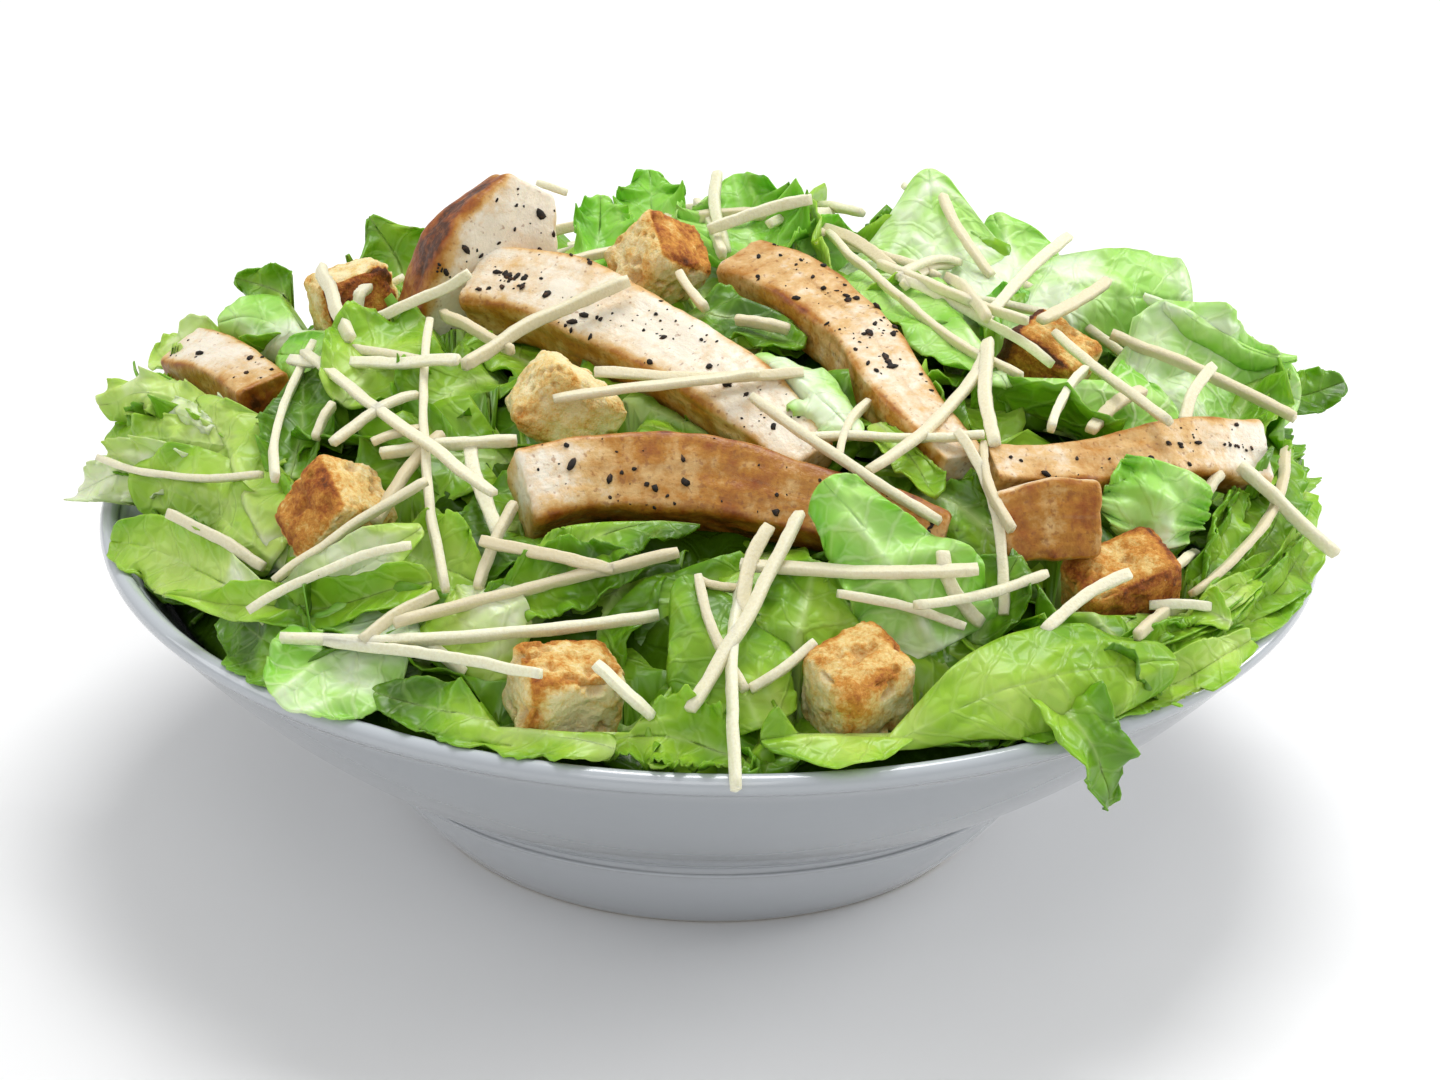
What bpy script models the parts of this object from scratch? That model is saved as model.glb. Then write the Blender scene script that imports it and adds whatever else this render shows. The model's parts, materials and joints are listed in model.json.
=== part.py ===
# Chicken caesar salad, heaped in its own porcelain bowl.
#
# The tables are in millimetres and the meshes in metres, +Z up, +Y to the far side.
# The origin is the centre of the bowl's foot, on the surface it stands on.
# Pieces: the bowl, the heap of lettuce as one solid out to its uneven outline,
# the strips of grilled chicken and the croutons that lie half sunk in the heap.

import math

import bmesh
import bpy
import numpy as np
from mathutils import Euler, Vector

MM = 0.001
GAP = 0.4                  # clearance round the toppings
WALL_GAP = 0.56            # height of the lowest lettuce above the bowl, 0.4 square to its slanted wall

# Bowl: a wide flaring wall on a tapered foot, with a rolled rim band.
RIM_RADIUS = 125.0
BOWL_HEIGHT = 67.0
RIM_BAND = 4.0             # height and breadth of the rolled rim
FOOT_RADIUS = 59.0
FOOT_TOP_RADIUS = 76.0
FOOT_HEIGHT = 22.0
FOOT_STEP = 2.0            # how far the wall starts outside the foot's top
FOOT_LAND = 5.0            # breadth of the ring that touches the table
FOOT_RECESS = 2.5          # depth of the recess inside that ring
WALL_BULGE = 2.4           # how far the wall bows outwards between foot and rim
FLOOR_HEIGHT = 8.0         # top of the bowl's floor above the table
FLOOR_RADIUS = 50.0
SEGMENTS = 60              # facets round the bowl and the heap

# Lettuce heap
CROWN = 104.0              # height of the heap's middle, before peaks and ripples
PLUMP_FRONT_BACK = (2.9, 0.8)          # power of the dome: its middle value, and how it grows to the far side
DOME_POWER = 0.92                      # under 1 the dome rises steeply from its edge
PLUMP_SIDES = 1.4                      # how much fuller the dome is to the left and right
LEAF_TOP = 14.0            # thickness of the layer of leaves where it leaves the wall
LEAF_EDGE = 4.5            # thickness of that layer at its outer edge
RUFFLE = 1.8               # how far the edge wanders in and out, and up and down
REACH = 7.5                # how far the leaves climb from the last wall ring to the rim
DOME_RINGS = 10
RIPPLE_FADE = (122.0, 25.0)            # radius where the ripples end, and the breadth of their fading
RING_STEP = 0.8            # least distance between two rings of the leaves' edge
LAST_WALL_RING = 7.5       # how far inside the rim the leaves leave the bowl's wall
RIM_CORNER = 1.4           # how far inside the rim they start to rise over it
# Underside of the leaves over the rim: distance beyond the rim's outside, height above its top
OVER_RIM = [(-4.9, 0.4), (-0.4, 1.4), (3.0, 1.8), (9.0, 2.6)]
FLOOR_RINGS = np.array([50.0, 76.0, 96.0])     # radii of the rings that lie in the bowl
# bearing in degrees, half width in degrees, further reach in mm, extra thickness in mm
LOBES = {
    "left bunch": (176.0, 15.0, 17.0, 12.0),
    "right fan": (13.0, 13.0, 19.0, 15.0),
    "right edge": (-14.0, 14.0, 4.0, 6.0),
    "pale leaf on the near left rim": (-128.0, 10.0, 5.0, 1.5),
    "far edge": (100.0, 22.0, 4.0, 8.0),
    "far left edge": (142.0, 14.0, 5.0, 6.0),
    "far right edge": (55.0, 14.0, 5.0, 9.0),
}
# Leaves that lie over the rim and hang down outside it, joined to the heap.
HANGING = {
    "near right": dict(
        path=[(56, -84, 69), (64, -95, 69), (69.5, -102.5, 70.8), (73, -105.5, 66), (73.5, -103.5, 55)],
        face=[(0.10, -0.35, 0.93), (0.58, -0.81, 0.05)],
        width=(16, 14, 6), thickness=(6, 2, 1.6)),
    "near left": dict(
        path=[(-60, -82, 75), (-68, -91, 72.5), (-74, -98, 70.8), (-77, -101, 68.5), (-78, -102, 64.5)],
        face=[(-0.10, -0.35, 0.93), (-0.58, -0.80, 0.15)],
        width=(24, 20, 8), thickness=(4, 1.8, 1.6)),
}
# x, y, height, half width of the places where leaves stand up
PEAKS = [
    (44.0, 62.0, 20.0, 13.0),
    (92.0, 46.0, 18.0, 14.0),
    (5.0, 64.0, 12.0, 14.0),
    (-73.0, 54.0, 9.0, 11.0),
    (-96.0, 38.0, 7.0, 12.0),
    (42.0, -98.0, 3.0, 14.0),
    (-100.0, -25.0, 4.0, 14.0),
    (-104.0, 14.0, 4.0, 12.0),
    (22.0, -72.0, 5.0, 9.0),
    (70.0, -54.0, 10.0, 18.0),
    (106.0, -22.0, 9.0, 14.0),
]

# Strips of grilled chicken. "path" runs along the middle of the upper face; "face" is the way
# that face looks at the two ends; width and thickness are given at the two ends and the middle.
CHICKEN = {
    "chicken_upright": dict(
        path=[(-50, 16, 93), (-46, 16, 105), (-42, 19, 117), (-38, 25, 126)],
        face=[(0.55, -0.80, 0.25), (0.45, -0.80, 0.40)],
        width=(30, 28, 12), thickness=(13, 13, 10)),
    "chicken_long_left": dict(
        path=[(-50, 13, 111), (-35, 5, 112.5), (-20, -8, 111),
              (-5, -22, 108.5), (9, -36, 104), (19, -48, 98)],
        face=[(-0.35, -0.40, 0.87), (-0.20, -0.25, 0.93)],
        width=(17, 18, 12), thickness=(13, 12, 8)),
    "chicken_long_right": dict(
        path=[(4, 21, 114), (13, 12, 114), (22, 0, 113), (30, -14, 111), (37, -32, 107), (49, -51, 100)],
        face=[(-0.25, -0.05, 0.97), (0.15, -0.10, 0.98)],
        width=(14, 15, 11), thickness=(12, 11, 8)),
    "chicken_front": dict(
        path=[(-35, -65, 98), (-22, -60, 99), (-2, -60, 99), (17, -65, 97), (31, -69, 95), (44, -72, 92)],
        face=[(-0.10, -0.74, 0.66), (0.15, -0.72, 0.68)],
        width=(16, 16, 11), thickness=(12, 12, 9)),
    "chicken_right": dict(
        path=[(54, -55, 101), (67, -50, 99), (80, -43, 97.5), (95, -32, 95.5), (111, -24, 91)],
        face=[(-0.10, -0.45, 0.88), (0.20, -0.65, 0.70)],
        width=(9, 11, 15), thickness=(6, 8, 10)),
    "chicken_chunk": dict(
        path=[(55.5, -69, 93), (65, -67, 94), (74.5, -64, 93)],
        face=[(-0.10, -0.90, 0.42), (0.10, -0.90, 0.42)],
        width=(14, 16, 14), thickness=(6, 6, 6)),
    "chicken_left": dict(
        path=[(-113, 30, 87), (-103, 17, 90), (-92, 0, 91)],
        face=[(-0.20, -0.40, 0.90), (0.10, -0.45, 0.88)],
        width=(12, 13, 12), thickness=(9, 10, 10)),
}
STRIP_STATIONS = 8
STRIP_SIDES = 10
STRIP_ROUNDNESS = 0.5      # power of sine and cosine in the section: 1 is round, 0 is square
STRIP_END = (0.8, 1.6)     # size of the end face, as a share of the strip, and depth of its rounded edge

# Croutons: rough cubes of bread. Centre, edges and turn (degrees about X, Y and Z).
CROUTONS = {
    "crouton_1": dict(centre=(-77, 34, 94), edges=(17, 15, 14), turn=(12, -14, 28)),
    "crouton_2": dict(centre=(-12, 22, 110), edges=(16, 16, 17), turn=(28, 30, 30)),
    "crouton_3": dict(centre=(-32, -31, 100), edges=(25, 15, 18), turn=(-10, 14, 12)),
    "crouton_4": dict(centre=(-72, -55, 86), edges=(17, 17, 18), turn=(24, 26, 38)),
    "crouton_5": dict(centre=(69, 11, 96), edges=(15, 14, 12), turn=(8, 24, -32)),
    "crouton_6": dict(centre=(79, -63, 79), edges=(21, 15, 13), turn=(16, -12, 24)),
    "crouton_7": dict(centre=(-26, -101, 72), edges=(20, 16, 15), turn=(10, 8, 22)),
    "crouton_8": dict(centre=(28, -99, 73), edges=(18, 17, 18), turn=(14, -10, 34)),
}
CROUTON_CUTS = 2
CORNER_POWER = 7           # higher is sharper corners
CROUTON_SKEW = 0.08        # how far a crouton is from square


def clear_scene():
    for item in list(bpy.data.objects):
        bpy.data.objects.remove(item, do_unlink=True)


def make_material(name, color, roughness):
    material = bpy.data.materials.new(name)
    material.use_nodes = True
    shader = material.node_tree.nodes["Principled BSDF"]
    shader.inputs["Base Color"].default_value = (*color, 1.0)
    shader.inputs["Roughness"].default_value = roughness
    shader.inputs["Metallic"].default_value = 0.0
    return material


def add_solid(name, points, faces, material=None, sharp_degrees=40.0):
    """Make an object from points in millimetres."""
    mesh = bpy.data.meshes.new(name)
    mesh.from_pydata((np.asarray(points) * MM).tolist(), [], faces)
    mesh.update()
    mesh.shade_smooth()
    mesh.set_sharp_from_angle(angle=math.radians(sharp_degrees))
    if material is not None:
        mesh.materials.append(material)
    item = bpy.data.objects.new(name, mesh)
    bpy.context.scene.collection.objects.link(item)
    return item


def skin(rings, first_pole, last_pole):
    """Close a stack of equal rings with a fan at each end. Rings run anticlockwise about the stack."""
    rings = np.asarray(rings, float)
    count, sides = rings.shape[:2]
    points = np.vstack([[first_pole], rings.reshape(-1, 3), [last_pole]])
    last = len(points) - 1
    start = 1 + (count - 1) * sides
    faces = []
    for side in range(sides):
        after = (side + 1) % sides
        faces.append((0, 1 + after, 1 + side))
        for ring in range(count - 1):
            low = 1 + ring * sides
            high = low + sides
            faces.append((low + side, low + after, high + after, high + side))
        faces.append((last, start + side, start + after))
    return points, faces


def bent_line(start, end, bulge, count):
    """Points of a shallow arc from start to end that bows out by bulge, to the right of the way it runs."""
    t = np.linspace(0.0, 1.0, count)[:, None]
    start, end = np.asarray(start, float), np.asarray(end, float)
    along = (end - start) / np.linalg.norm(end - start)
    aside = np.array([along[1], -along[0]])
    return start + (end - start) * t + aside * bulge * 4.0 * t * (1.0 - t)


def combine(item, tool, operation):
    """Join the tool to the item or cut it out of it. The tool is only a guide."""
    tool.hide_render = True
    tool.display_type = "WIRE"
    change = item.modifiers.new(tool.name, "BOOLEAN")
    change.operation = operation
    change.solver = "EXACT"
    change.object = tool


# ---- bowl

WALL_FOOT = (FOOT_TOP_RADIUS + FOOT_STEP, FOOT_HEIGHT + 1.2)
WALL_TOP = (RIM_RADIUS - 1.5, BOWL_HEIGHT - RIM_BAND)
INNER_TOP = (RIM_RADIUS - RIM_BAND - 0.6, BOWL_HEIGHT - 2.0)
INNER_LOW = (FOOT_TOP_RADIUS - 3.0, FOOT_HEIGHT + 1.5)


def rim_arc(count=6):
    """The rolled rim, from the foot of its outer side over the top to its inner edge."""
    half = RIM_BAND / 2.0
    turn = np.radians(np.linspace(-60.0, 190.0, count))
    middle = np.array([RIM_RADIUS - half, BOWL_HEIGHT - half])
    return middle + half * np.stack([np.cos(turn), np.sin(turn)], axis=1)


def inner_profile():
    """Inside of the bowl from the rim down to the floor, as radius and height."""
    wall = bent_line(INNER_TOP, INNER_LOW, -WALL_BULGE, 5)
    shoulder = [(FLOOR_RADIUS + 10.0, FLOOR_HEIGHT + 5.0), (FLOOR_RADIUS, FLOOR_HEIGHT + 0.8)]
    return np.vstack([wall, shoulder])


def bowl_profile():
    foot_inner = FOOT_RADIUS - FOOT_LAND - 1.0
    foot = [
        (foot_inner - 2.0, FOOT_RECESS),
        (foot_inner, 0.0),
        (FOOT_RADIUS - 1.0, 0.0),
        (FOOT_RADIUS, 1.0),
        (FOOT_TOP_RADIUS, FOOT_HEIGHT),
    ]
    wall = bent_line(WALL_FOOT, WALL_TOP, WALL_BULGE, 5)
    return np.vstack([foot, wall, rim_arc(), inner_profile()])


def turned(profile):
    """Rings of a profile (radius, height) turned about the Z axis."""
    turn = np.linspace(0.0, 2.0 * math.pi, SEGMENTS, endpoint=False)
    radius, height = profile[:, :1], profile[:, 1:]
    height = np.broadcast_to(height, (len(profile), SEGMENTS))
    return np.stack([radius * np.cos(turn), radius * np.sin(turn), height], -1)


def make_bowl():
    points, faces = skin(turned(bowl_profile()), (0, 0, FOOT_RECESS), (0, 0, FLOOR_HEIGHT))
    add_solid("bowl", points, faces, make_material("porcelain", (0.80, 0.81, 0.82), 0.12), 35.0)


# ---- chicken

def smooth_path(knots, count):
    """Even stations of a Catmull-Rom curve through the knots."""
    knots = np.asarray(knots, float)
    ends = np.vstack([2 * knots[0] - knots[1], knots, 2 * knots[-1] - knots[-2]])
    place = np.linspace(0.0, len(knots) - 1.0, count)
    span = np.minimum(place.astype(int), len(knots) - 2)
    t = (place - span)[:, None]
    a, b, c, d = (ends[span + shift] for shift in range(4))
    square = 2 * a - 5 * b + 4 * c - d
    cube = 3 * b - a - 3 * c + d
    return 0.5 * (2 * b + (c - a) * t + square * t ** 2 + cube * t ** 3)


def strip_rings(strip, grow=0.0):
    """Rings of a strip of meat: a rounded oblong carried along its path under its upper face."""
    path = smooth_path(strip["path"], STRIP_STATIONS)
    along = np.gradient(path, axis=0)
    along /= np.linalg.norm(along, axis=1)[:, None]
    share = np.linspace(0.0, 1.0, STRIP_STATIONS)[:, None]
    face = np.asarray(strip["face"][0], float) * (1 - share) + np.asarray(strip["face"][1], float) * share
    face -= np.sum(face * along, axis=1)[:, None] * along
    face /= np.linalg.norm(face, axis=1)[:, None]
    side = np.cross(along, face)
    width = np.interp(share[:, 0], (0.0, 0.5, 1.0), strip["width"])[:, None]
    thick = np.interp(share[:, 0], (0.0, 0.5, 1.0), strip["thickness"])[:, None]
    middle = path - face * thick / 2.0
    # the first and last stations are doubled to give each end a rounded edge
    end_scale, end_depth = STRIP_END
    middle = np.vstack([middle[:1] - along[:1] * grow, middle[:1] + along[:1] * end_depth, middle[1:-1],
                        middle[-1:] - along[-1:] * end_depth, middle[-1:] + along[-1:] * grow])
    repeat = np.r_[0, 0:STRIP_STATIONS, STRIP_STATIONS - 1]
    scale = np.ones(len(repeat))
    scale[[0, -1]] = end_scale
    turn = np.radians(np.arange(STRIP_SIDES) * 360.0 / STRIP_SIDES + 15.0)
    across = np.sign(np.sin(turn)) * np.abs(np.sin(turn)) ** STRIP_ROUNDNESS
    upward = np.sign(np.cos(turn)) * np.abs(np.cos(turn)) ** STRIP_ROUNDNESS
    half_width = (width[repeat] / 2.0 * scale[:, None] + grow)[:, :, None]
    half_thick = (thick[repeat] / 2.0 * scale[:, None] + grow)[:, :, None]
    rings = (middle[:, None] + side[repeat][:, None] * across[None, :, None] * half_width
             + face[repeat][:, None] * upward[None, :, None] * half_thick)
    return rings, middle[0], middle[-1]


def make_strip(name, strip, grow=0.0, material=None):
    rings, first, last = strip_rings(strip, grow)
    points, faces = skin(rings, first, last)
    return add_solid(name, points, faces, material, 50.0)


# ---- croutons

def make_crouton(name, crouton, grow=0.0, material=None):
    """A cube with soft corners, cut a little out of square by its own turn."""
    form = bmesh.new()
    bmesh.ops.create_cube(form, size=2.0)
    bmesh.ops.subdivide_edges(form, edges=form.edges[:], cuts=CROUTON_CUTS, use_grid_fill=True)
    turn = Euler([math.radians(angle) for angle in crouton["turn"]]).to_matrix()
    half = [edge / 2.0 + grow for edge in crouton["edges"]]
    for vert in form.verts:
        spot = vert.co
        reach = sum(abs(part) ** CORNER_POWER for part in spot) ** (1.0 / CORNER_POWER)
        spot = spot / reach
        skew = 1.0 + CROUTON_SKEW * spot.x * spot.y
        vert.co = turn @ Vector((spot.x * half[0], spot.y * half[1] * skew, spot.z * half[2]))
        vert.co = (vert.co + Vector(crouton["centre"])) * MM
    mesh = bpy.data.meshes.new(name)
    form.to_mesh(mesh)
    form.free()
    mesh.shade_smooth()
    mesh.set_sharp_from_angle(angle=math.radians(60.0))
    if material is not None:
        mesh.materials.append(material)
    item = bpy.data.objects.new(name, mesh)
    bpy.context.scene.collection.objects.link(item)
    return item


# ---- lettuce heap

def lobe(bearing, centre, width):
    away = (bearing - centre + 180.0) % 360.0 - 180.0
    return np.exp(-(away / width) ** 2)


def wall_height(radius):
    """Height of the lowest lettuce over the bowl's inside at a radius."""
    inside = inner_profile()[::-1]
    return np.interp(radius, inside[:, 0], inside[:, 1]) + WALL_GAP


def rim_path():
    """Underside of the leaves, from the last ring on the wall over the rim and outwards."""
    start = INNER_TOP[0] - LAST_WALL_RING
    corner = INNER_TOP[0] - RIM_CORNER
    on_wall = [(start, wall_height(start)), (corner, wall_height(corner))]
    return np.vstack([on_wall, np.array(OVER_RIM) + (RIM_RADIUS, BOWL_HEIGHT)])


def along_path(path, distance, length):
    """Points at the given distances along a path, and the direction to the leaves' upper side there."""
    point = np.stack([np.interp(distance, length, path[:, axis]) for axis in range(2)], -1)
    slope = np.gradient(path, axis=0)
    slope = np.stack([np.interp(distance, length, slope[:, axis]) for axis in range(2)], -1)
    slope /= np.linalg.norm(slope, axis=-1)[..., None]
    return point, np.stack([-slope[..., 1], slope[..., 0]], -1)


def ripples(x, y):
    """Low lumps of overlapping leaves, 1 to 2 mm high and 4 to 6 cm from one to the next."""
    return (1.9 * np.sin(x / 6.3 + 1.1 * np.sin(y / 9.0)) * np.cos(y / 7.1 + 0.6)
            + 1.4 * np.sin((x + y) / 8.7 + 2.0) + 1.2 * np.cos((x - 1.6 * y) / 10.3))


def peaks(x, y):
    total = np.zeros_like(x)
    for peak_x, peak_y, height, width in PEAKS:
        total += height * np.exp(-((x - peak_x) ** 2 + (y - peak_y) ** 2) / width ** 2)
    return total


def heap_rings():
    turn = np.linspace(0.0, 2.0 * math.pi, SEGMENTS, endpoint=False)
    bearing = np.degrees(turn)
    reach = REACH + RUFFLE * (0.6 * np.sin(7.0 * turn + 1.0) + 0.4 * np.sin(11.0 * turn))
    extra = RUFFLE * (0.7 * np.sin(5.0 * turn) + 0.7 * np.sin(9.0 * turn + 2.0))
    for centre, width, further, thicker in LOBES.values():
        reach += further * lobe(bearing, centre, width)
        extra += thicker * lobe(bearing, centre, width)
    path = rim_path()
    length = np.r_[0.0, np.cumsum(np.linalg.norm(np.diff(path, axis=0), axis=1))]
    left_over = np.arange(len(path))[::-1, None] * RING_STEP
    distance = np.minimum(length[:, None], reach - left_over)
    share = distance / reach
    low, outward = along_path(path, distance, length)
    thickness = LEAF_TOP + (LEAF_EDGE - LEAF_TOP) * share + extra * (1.0 - 0.75 * share ** 2)
    high = low + outward * thickness[..., None]

    def to_space(flat):
        return np.stack([flat[..., 0] * np.cos(turn), flat[..., 0] * np.sin(turn), flat[..., 1]], -1)

    floor_flat = np.stack([FLOOR_RINGS, wall_height(FLOOR_RINGS)], -1)[:, None]
    floor = to_space(np.broadcast_to(floor_flat, (len(FLOOR_RINGS), SEGMENTS, 2)))
    under = to_space(low)
    over = to_space(high)[::-1]
    part = np.arange(DOME_RINGS - 1, 0, -1)[:, None] / DOME_RINGS
    edge = high[0]
    plumpness = PLUMP_FRONT_BACK[0] + PLUMP_FRONT_BACK[1] * np.sin(turn) + PLUMP_SIDES * np.cos(turn) ** 2
    climb = (1.0 - part ** plumpness) ** DOME_POWER
    dome = to_space(np.stack([edge[:, 0] * part, edge[:, 1] + (CROWN - edge[:, 1]) * climb], -1))
    upper = np.concatenate([over, dome])
    x, y = upper[..., 0], upper[..., 1]
    fade_end, fade_breadth = RIPPLE_FADE
    calm = np.clip((fade_end - np.hypot(x, y)) / fade_breadth, 0.0, 1.0)
    upper[..., 2] += peaks(x, y) + calm * ripples(x, y)
    crown = CROWN + float(ripples(np.zeros(1), np.zeros(1))[0])
    return np.concatenate([floor, under, upper]), crown


def make_heap(cutters):
    rings, crown = heap_rings()
    points, faces = skin(rings, (0, 0, FLOOR_HEIGHT + WALL_GAP), (0, 0, crown))
    heap = add_solid("lettuce_heap", points, faces, make_material("romaine", (0.22, 0.46, 0.05), 0.45), 60.0)
    for name, leaf in HANGING.items():
        combine(heap, make_strip("leaf " + name, leaf), "UNION")
    for cutter in cutters:
        combine(heap, cutter, "DIFFERENCE")


clear_scene()
make_bowl()
meat = make_material("grilled chicken", (0.72, 0.48, 0.27), 0.42)
bread = make_material("toasted bread", (0.76, 0.52, 0.22), 0.75)
room = {}
for strip_name, strip_sizes in CHICKEN.items():
    make_strip(strip_name, strip_sizes, material=meat)
    room[strip_name] = make_strip(strip_name + "_room", strip_sizes, grow=GAP)
for crouton_name, crouton_sizes in CROUTONS.items():
    make_crouton(crouton_name, crouton_sizes, material=bread)
    room[crouton_name] = make_crouton(crouton_name + "_room", crouton_sizes, grow=GAP)
combine(bpy.data.objects["chicken_upright"], room["chicken_long_left"], "DIFFERENCE")
make_heap(room.values())
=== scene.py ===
# Chicken caesar salad in its porcelain bowl: the looks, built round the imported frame.
# Tables are in millimetres: +X right, +Y to the far side, +Z up, from the middle of the bowl's foot.

import json
import math

import bpy
import numpy as np
from mathutils import Euler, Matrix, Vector
from mathutils.bvhtree import BVHTree

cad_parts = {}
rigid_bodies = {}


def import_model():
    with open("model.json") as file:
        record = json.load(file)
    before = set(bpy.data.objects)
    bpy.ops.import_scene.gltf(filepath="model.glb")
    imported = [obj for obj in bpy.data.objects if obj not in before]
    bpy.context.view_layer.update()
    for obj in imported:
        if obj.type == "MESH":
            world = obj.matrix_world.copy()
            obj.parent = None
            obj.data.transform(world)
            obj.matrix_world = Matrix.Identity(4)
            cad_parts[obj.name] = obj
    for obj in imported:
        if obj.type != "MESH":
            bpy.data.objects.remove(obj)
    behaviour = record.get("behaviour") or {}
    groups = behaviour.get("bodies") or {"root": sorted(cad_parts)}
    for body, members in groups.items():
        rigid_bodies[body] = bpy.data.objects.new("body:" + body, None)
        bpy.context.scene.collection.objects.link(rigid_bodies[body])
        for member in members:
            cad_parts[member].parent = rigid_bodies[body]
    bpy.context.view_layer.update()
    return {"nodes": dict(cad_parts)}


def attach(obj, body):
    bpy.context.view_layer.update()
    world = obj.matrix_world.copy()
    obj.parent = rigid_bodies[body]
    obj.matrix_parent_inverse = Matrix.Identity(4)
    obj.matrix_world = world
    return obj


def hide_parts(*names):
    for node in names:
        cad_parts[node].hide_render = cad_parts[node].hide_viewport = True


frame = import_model()
mm = 0.001


# ---- small tools

def srgb(code):
    # hex to linear light: ((c + 0.055) / 1.055) ** 2.4, straight below the toe
    part = np.array([int(code[at:at + 2], 16) for at in (1, 3, 5)]) / 255.0
    linear = np.where(part <= 0.04045, part / 12.92, ((part + 0.055) / 1.055) ** 2.4)
    return (*linear.tolist(), 1.0)


def addNode(tree, kind, inputs=None, stops=None, **settings):
    # one node with its settings; an input that is a socket is linked, any other is its value
    node = tree.nodes.new(kind)
    for name, value in settings.items():
        setattr(node, name, value)
    for key, value in (inputs or {}).items():
        if isinstance(value, bpy.types.NodeSocket):
            tree.links.new(value, node.inputs[key])
        else:
            node.inputs[key].default_value = value
    if stops:
        ramp = node.color_ramp
        while len(ramp.elements) < len(stops):
            ramp.elements.new(1.0)
        for element, (place, color) in zip(ramp.elements, stops):
            element.position = place
            element.color = srgb(color) if isinstance(color, str) else (color, color, color, 1.0)
    return node


def startMaterial(name, **sockets):
    material = bpy.data.materials.new(name)
    material.use_nodes = True
    tree = material.node_tree
    shader = tree.nodes["Principled BSDF"]
    for socket, value in sockets.items():
        shader.inputs[socket.replace("_", " ")].default_value = value
    return material, tree, shader


def mixColors(tree, share, first, second, blend="MIX"):
    # colours are mixed on sockets 6 and 7 of a Mix node, and its colour comes out of socket 2
    node = addNode(tree, "ShaderNodeMix", {0: share, 6: first, 7: second}, data_type="RGBA", blend_type=blend)
    return node.outputs[2]


def lumps(points, size, seed=0):
    # smooth noise from -1 to 1: a random value at each knot of a lattice of that size, eased between knots
    spot = np.asarray(points, float) / size
    cell = np.floor(spot).astype(np.int64)
    ease = spot - cell
    ease = ease * ease * (3.0 - 2.0 * ease)
    total = np.zeros(spot.shape[:-1])
    for corner in np.ndindex(2, 2, 2):
        knot = cell + np.array(corner)
        code = knot[..., 0] * 374761393 + knot[..., 1] * 668265263 + knot[..., 2] * 2147483647 + seed * 1274126177
        code = (code ^ (code >> 13)) * 1274126177
        code = (code ^ (code >> 16)) & 0xFFFFFF
        weight = np.prod(np.where(np.array(corner) == 1, ease, 1.0 - ease), axis=-1)
        total += weight * (code / 8388607.5 - 1.0)
    return total


def roughLumps(points, size, octaves, seed=0):
    # lumps added up, each octave half as large and a little over half as high as the one before
    total = sum(0.55 ** step * lumps(points, size / 2.0 ** step, seed + 31 * step) for step in range(octaves))
    return total / sum(0.55 ** step for step in range(octaves))


def unit(vectors):
    return vectors / (np.linalg.norm(vectors, axis=-1, keepdims=True) + 1e-12)


def easeBetween(low, high, value):
    # 0 below low, 1 above high, 3 t^2 - 2 t^3 between
    t = np.clip((value - low) / (high - low), 0.0, 1.0)
    return t * t * (3.0 - 2.0 * t)


def curveThrough(knots, count):
    # Catmull-Rom: each span is the cubic whose slope at a knot is half the way between its two neighbours
    knots = np.asarray(knots, float)
    ends = np.vstack([2 * knots[0] - knots[1], knots, 2 * knots[-1] - knots[-2]])
    place = np.linspace(0.0, len(knots) - 1.0, count)
    span = np.minimum(place.astype(int), len(knots) - 2)
    t = (place - span)[:, None]
    a, b, c, d = (ends[span + shift] for shift in range(4))
    return 0.5 * (2 * b + (c - a) * t + (2 * a - 5 * b + 4 * c - d) * t ** 2 + (3 * b - a - 3 * c + d) * t ** 3)


def carriedFrame(path, faces, share):
    # along the path, its face made square to the way it runs, and the side way square to both
    along = unit(np.gradient(path, axis=0))
    face = np.asarray(faces[0], float) * (1 - share) + np.asarray(faces[1], float) * share
    face = unit(face - np.sum(face * along, axis=1)[:, None] * along)
    return along, face, np.cross(along, face)


def gridFaces(rows, columns, around):
    # four-sided faces between neighbouring rows and columns; around joins the last column to the first
    row, column = np.meshgrid(np.arange(rows - 1), np.arange(columns if around else columns - 1), indexing="ij")
    after = (column + 1) % columns
    corners = [row * columns + column, row * columns + after, (row + 1) * columns + after,
               (row + 1) * columns + column]
    return np.stack(corners, -1).reshape(-1, 4)


def closedTube(rings):
    # rings of equal count closed at both ends by a fan to a middle point
    count, sides = rings.shape[:2]
    points = np.vstack([rings.reshape(-1, 3), rings[0].mean(0), rings[-1].mean(0)])
    side = np.arange(sides)
    after = (side + 1) % sides
    first = np.stack([np.full(sides, count * sides), after, side], -1)
    last = np.stack([np.full(sides, count * sides + 1), (count - 1) * sides + side, (count - 1) * sides + after], -1)
    return points, [gridFaces(count, sides, True), first, last]


def gridNormals(grid, around=False):
    # cross product of the slopes along the two ways of the grid
    rise = np.gradient(grid, axis=0)
    if around:
        run = np.roll(grid, -1, axis=1) - np.roll(grid, 1, axis=1)
    else:
        run = np.gradient(grid, axis=1)
    return unit(np.cross(run, rise))


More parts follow.
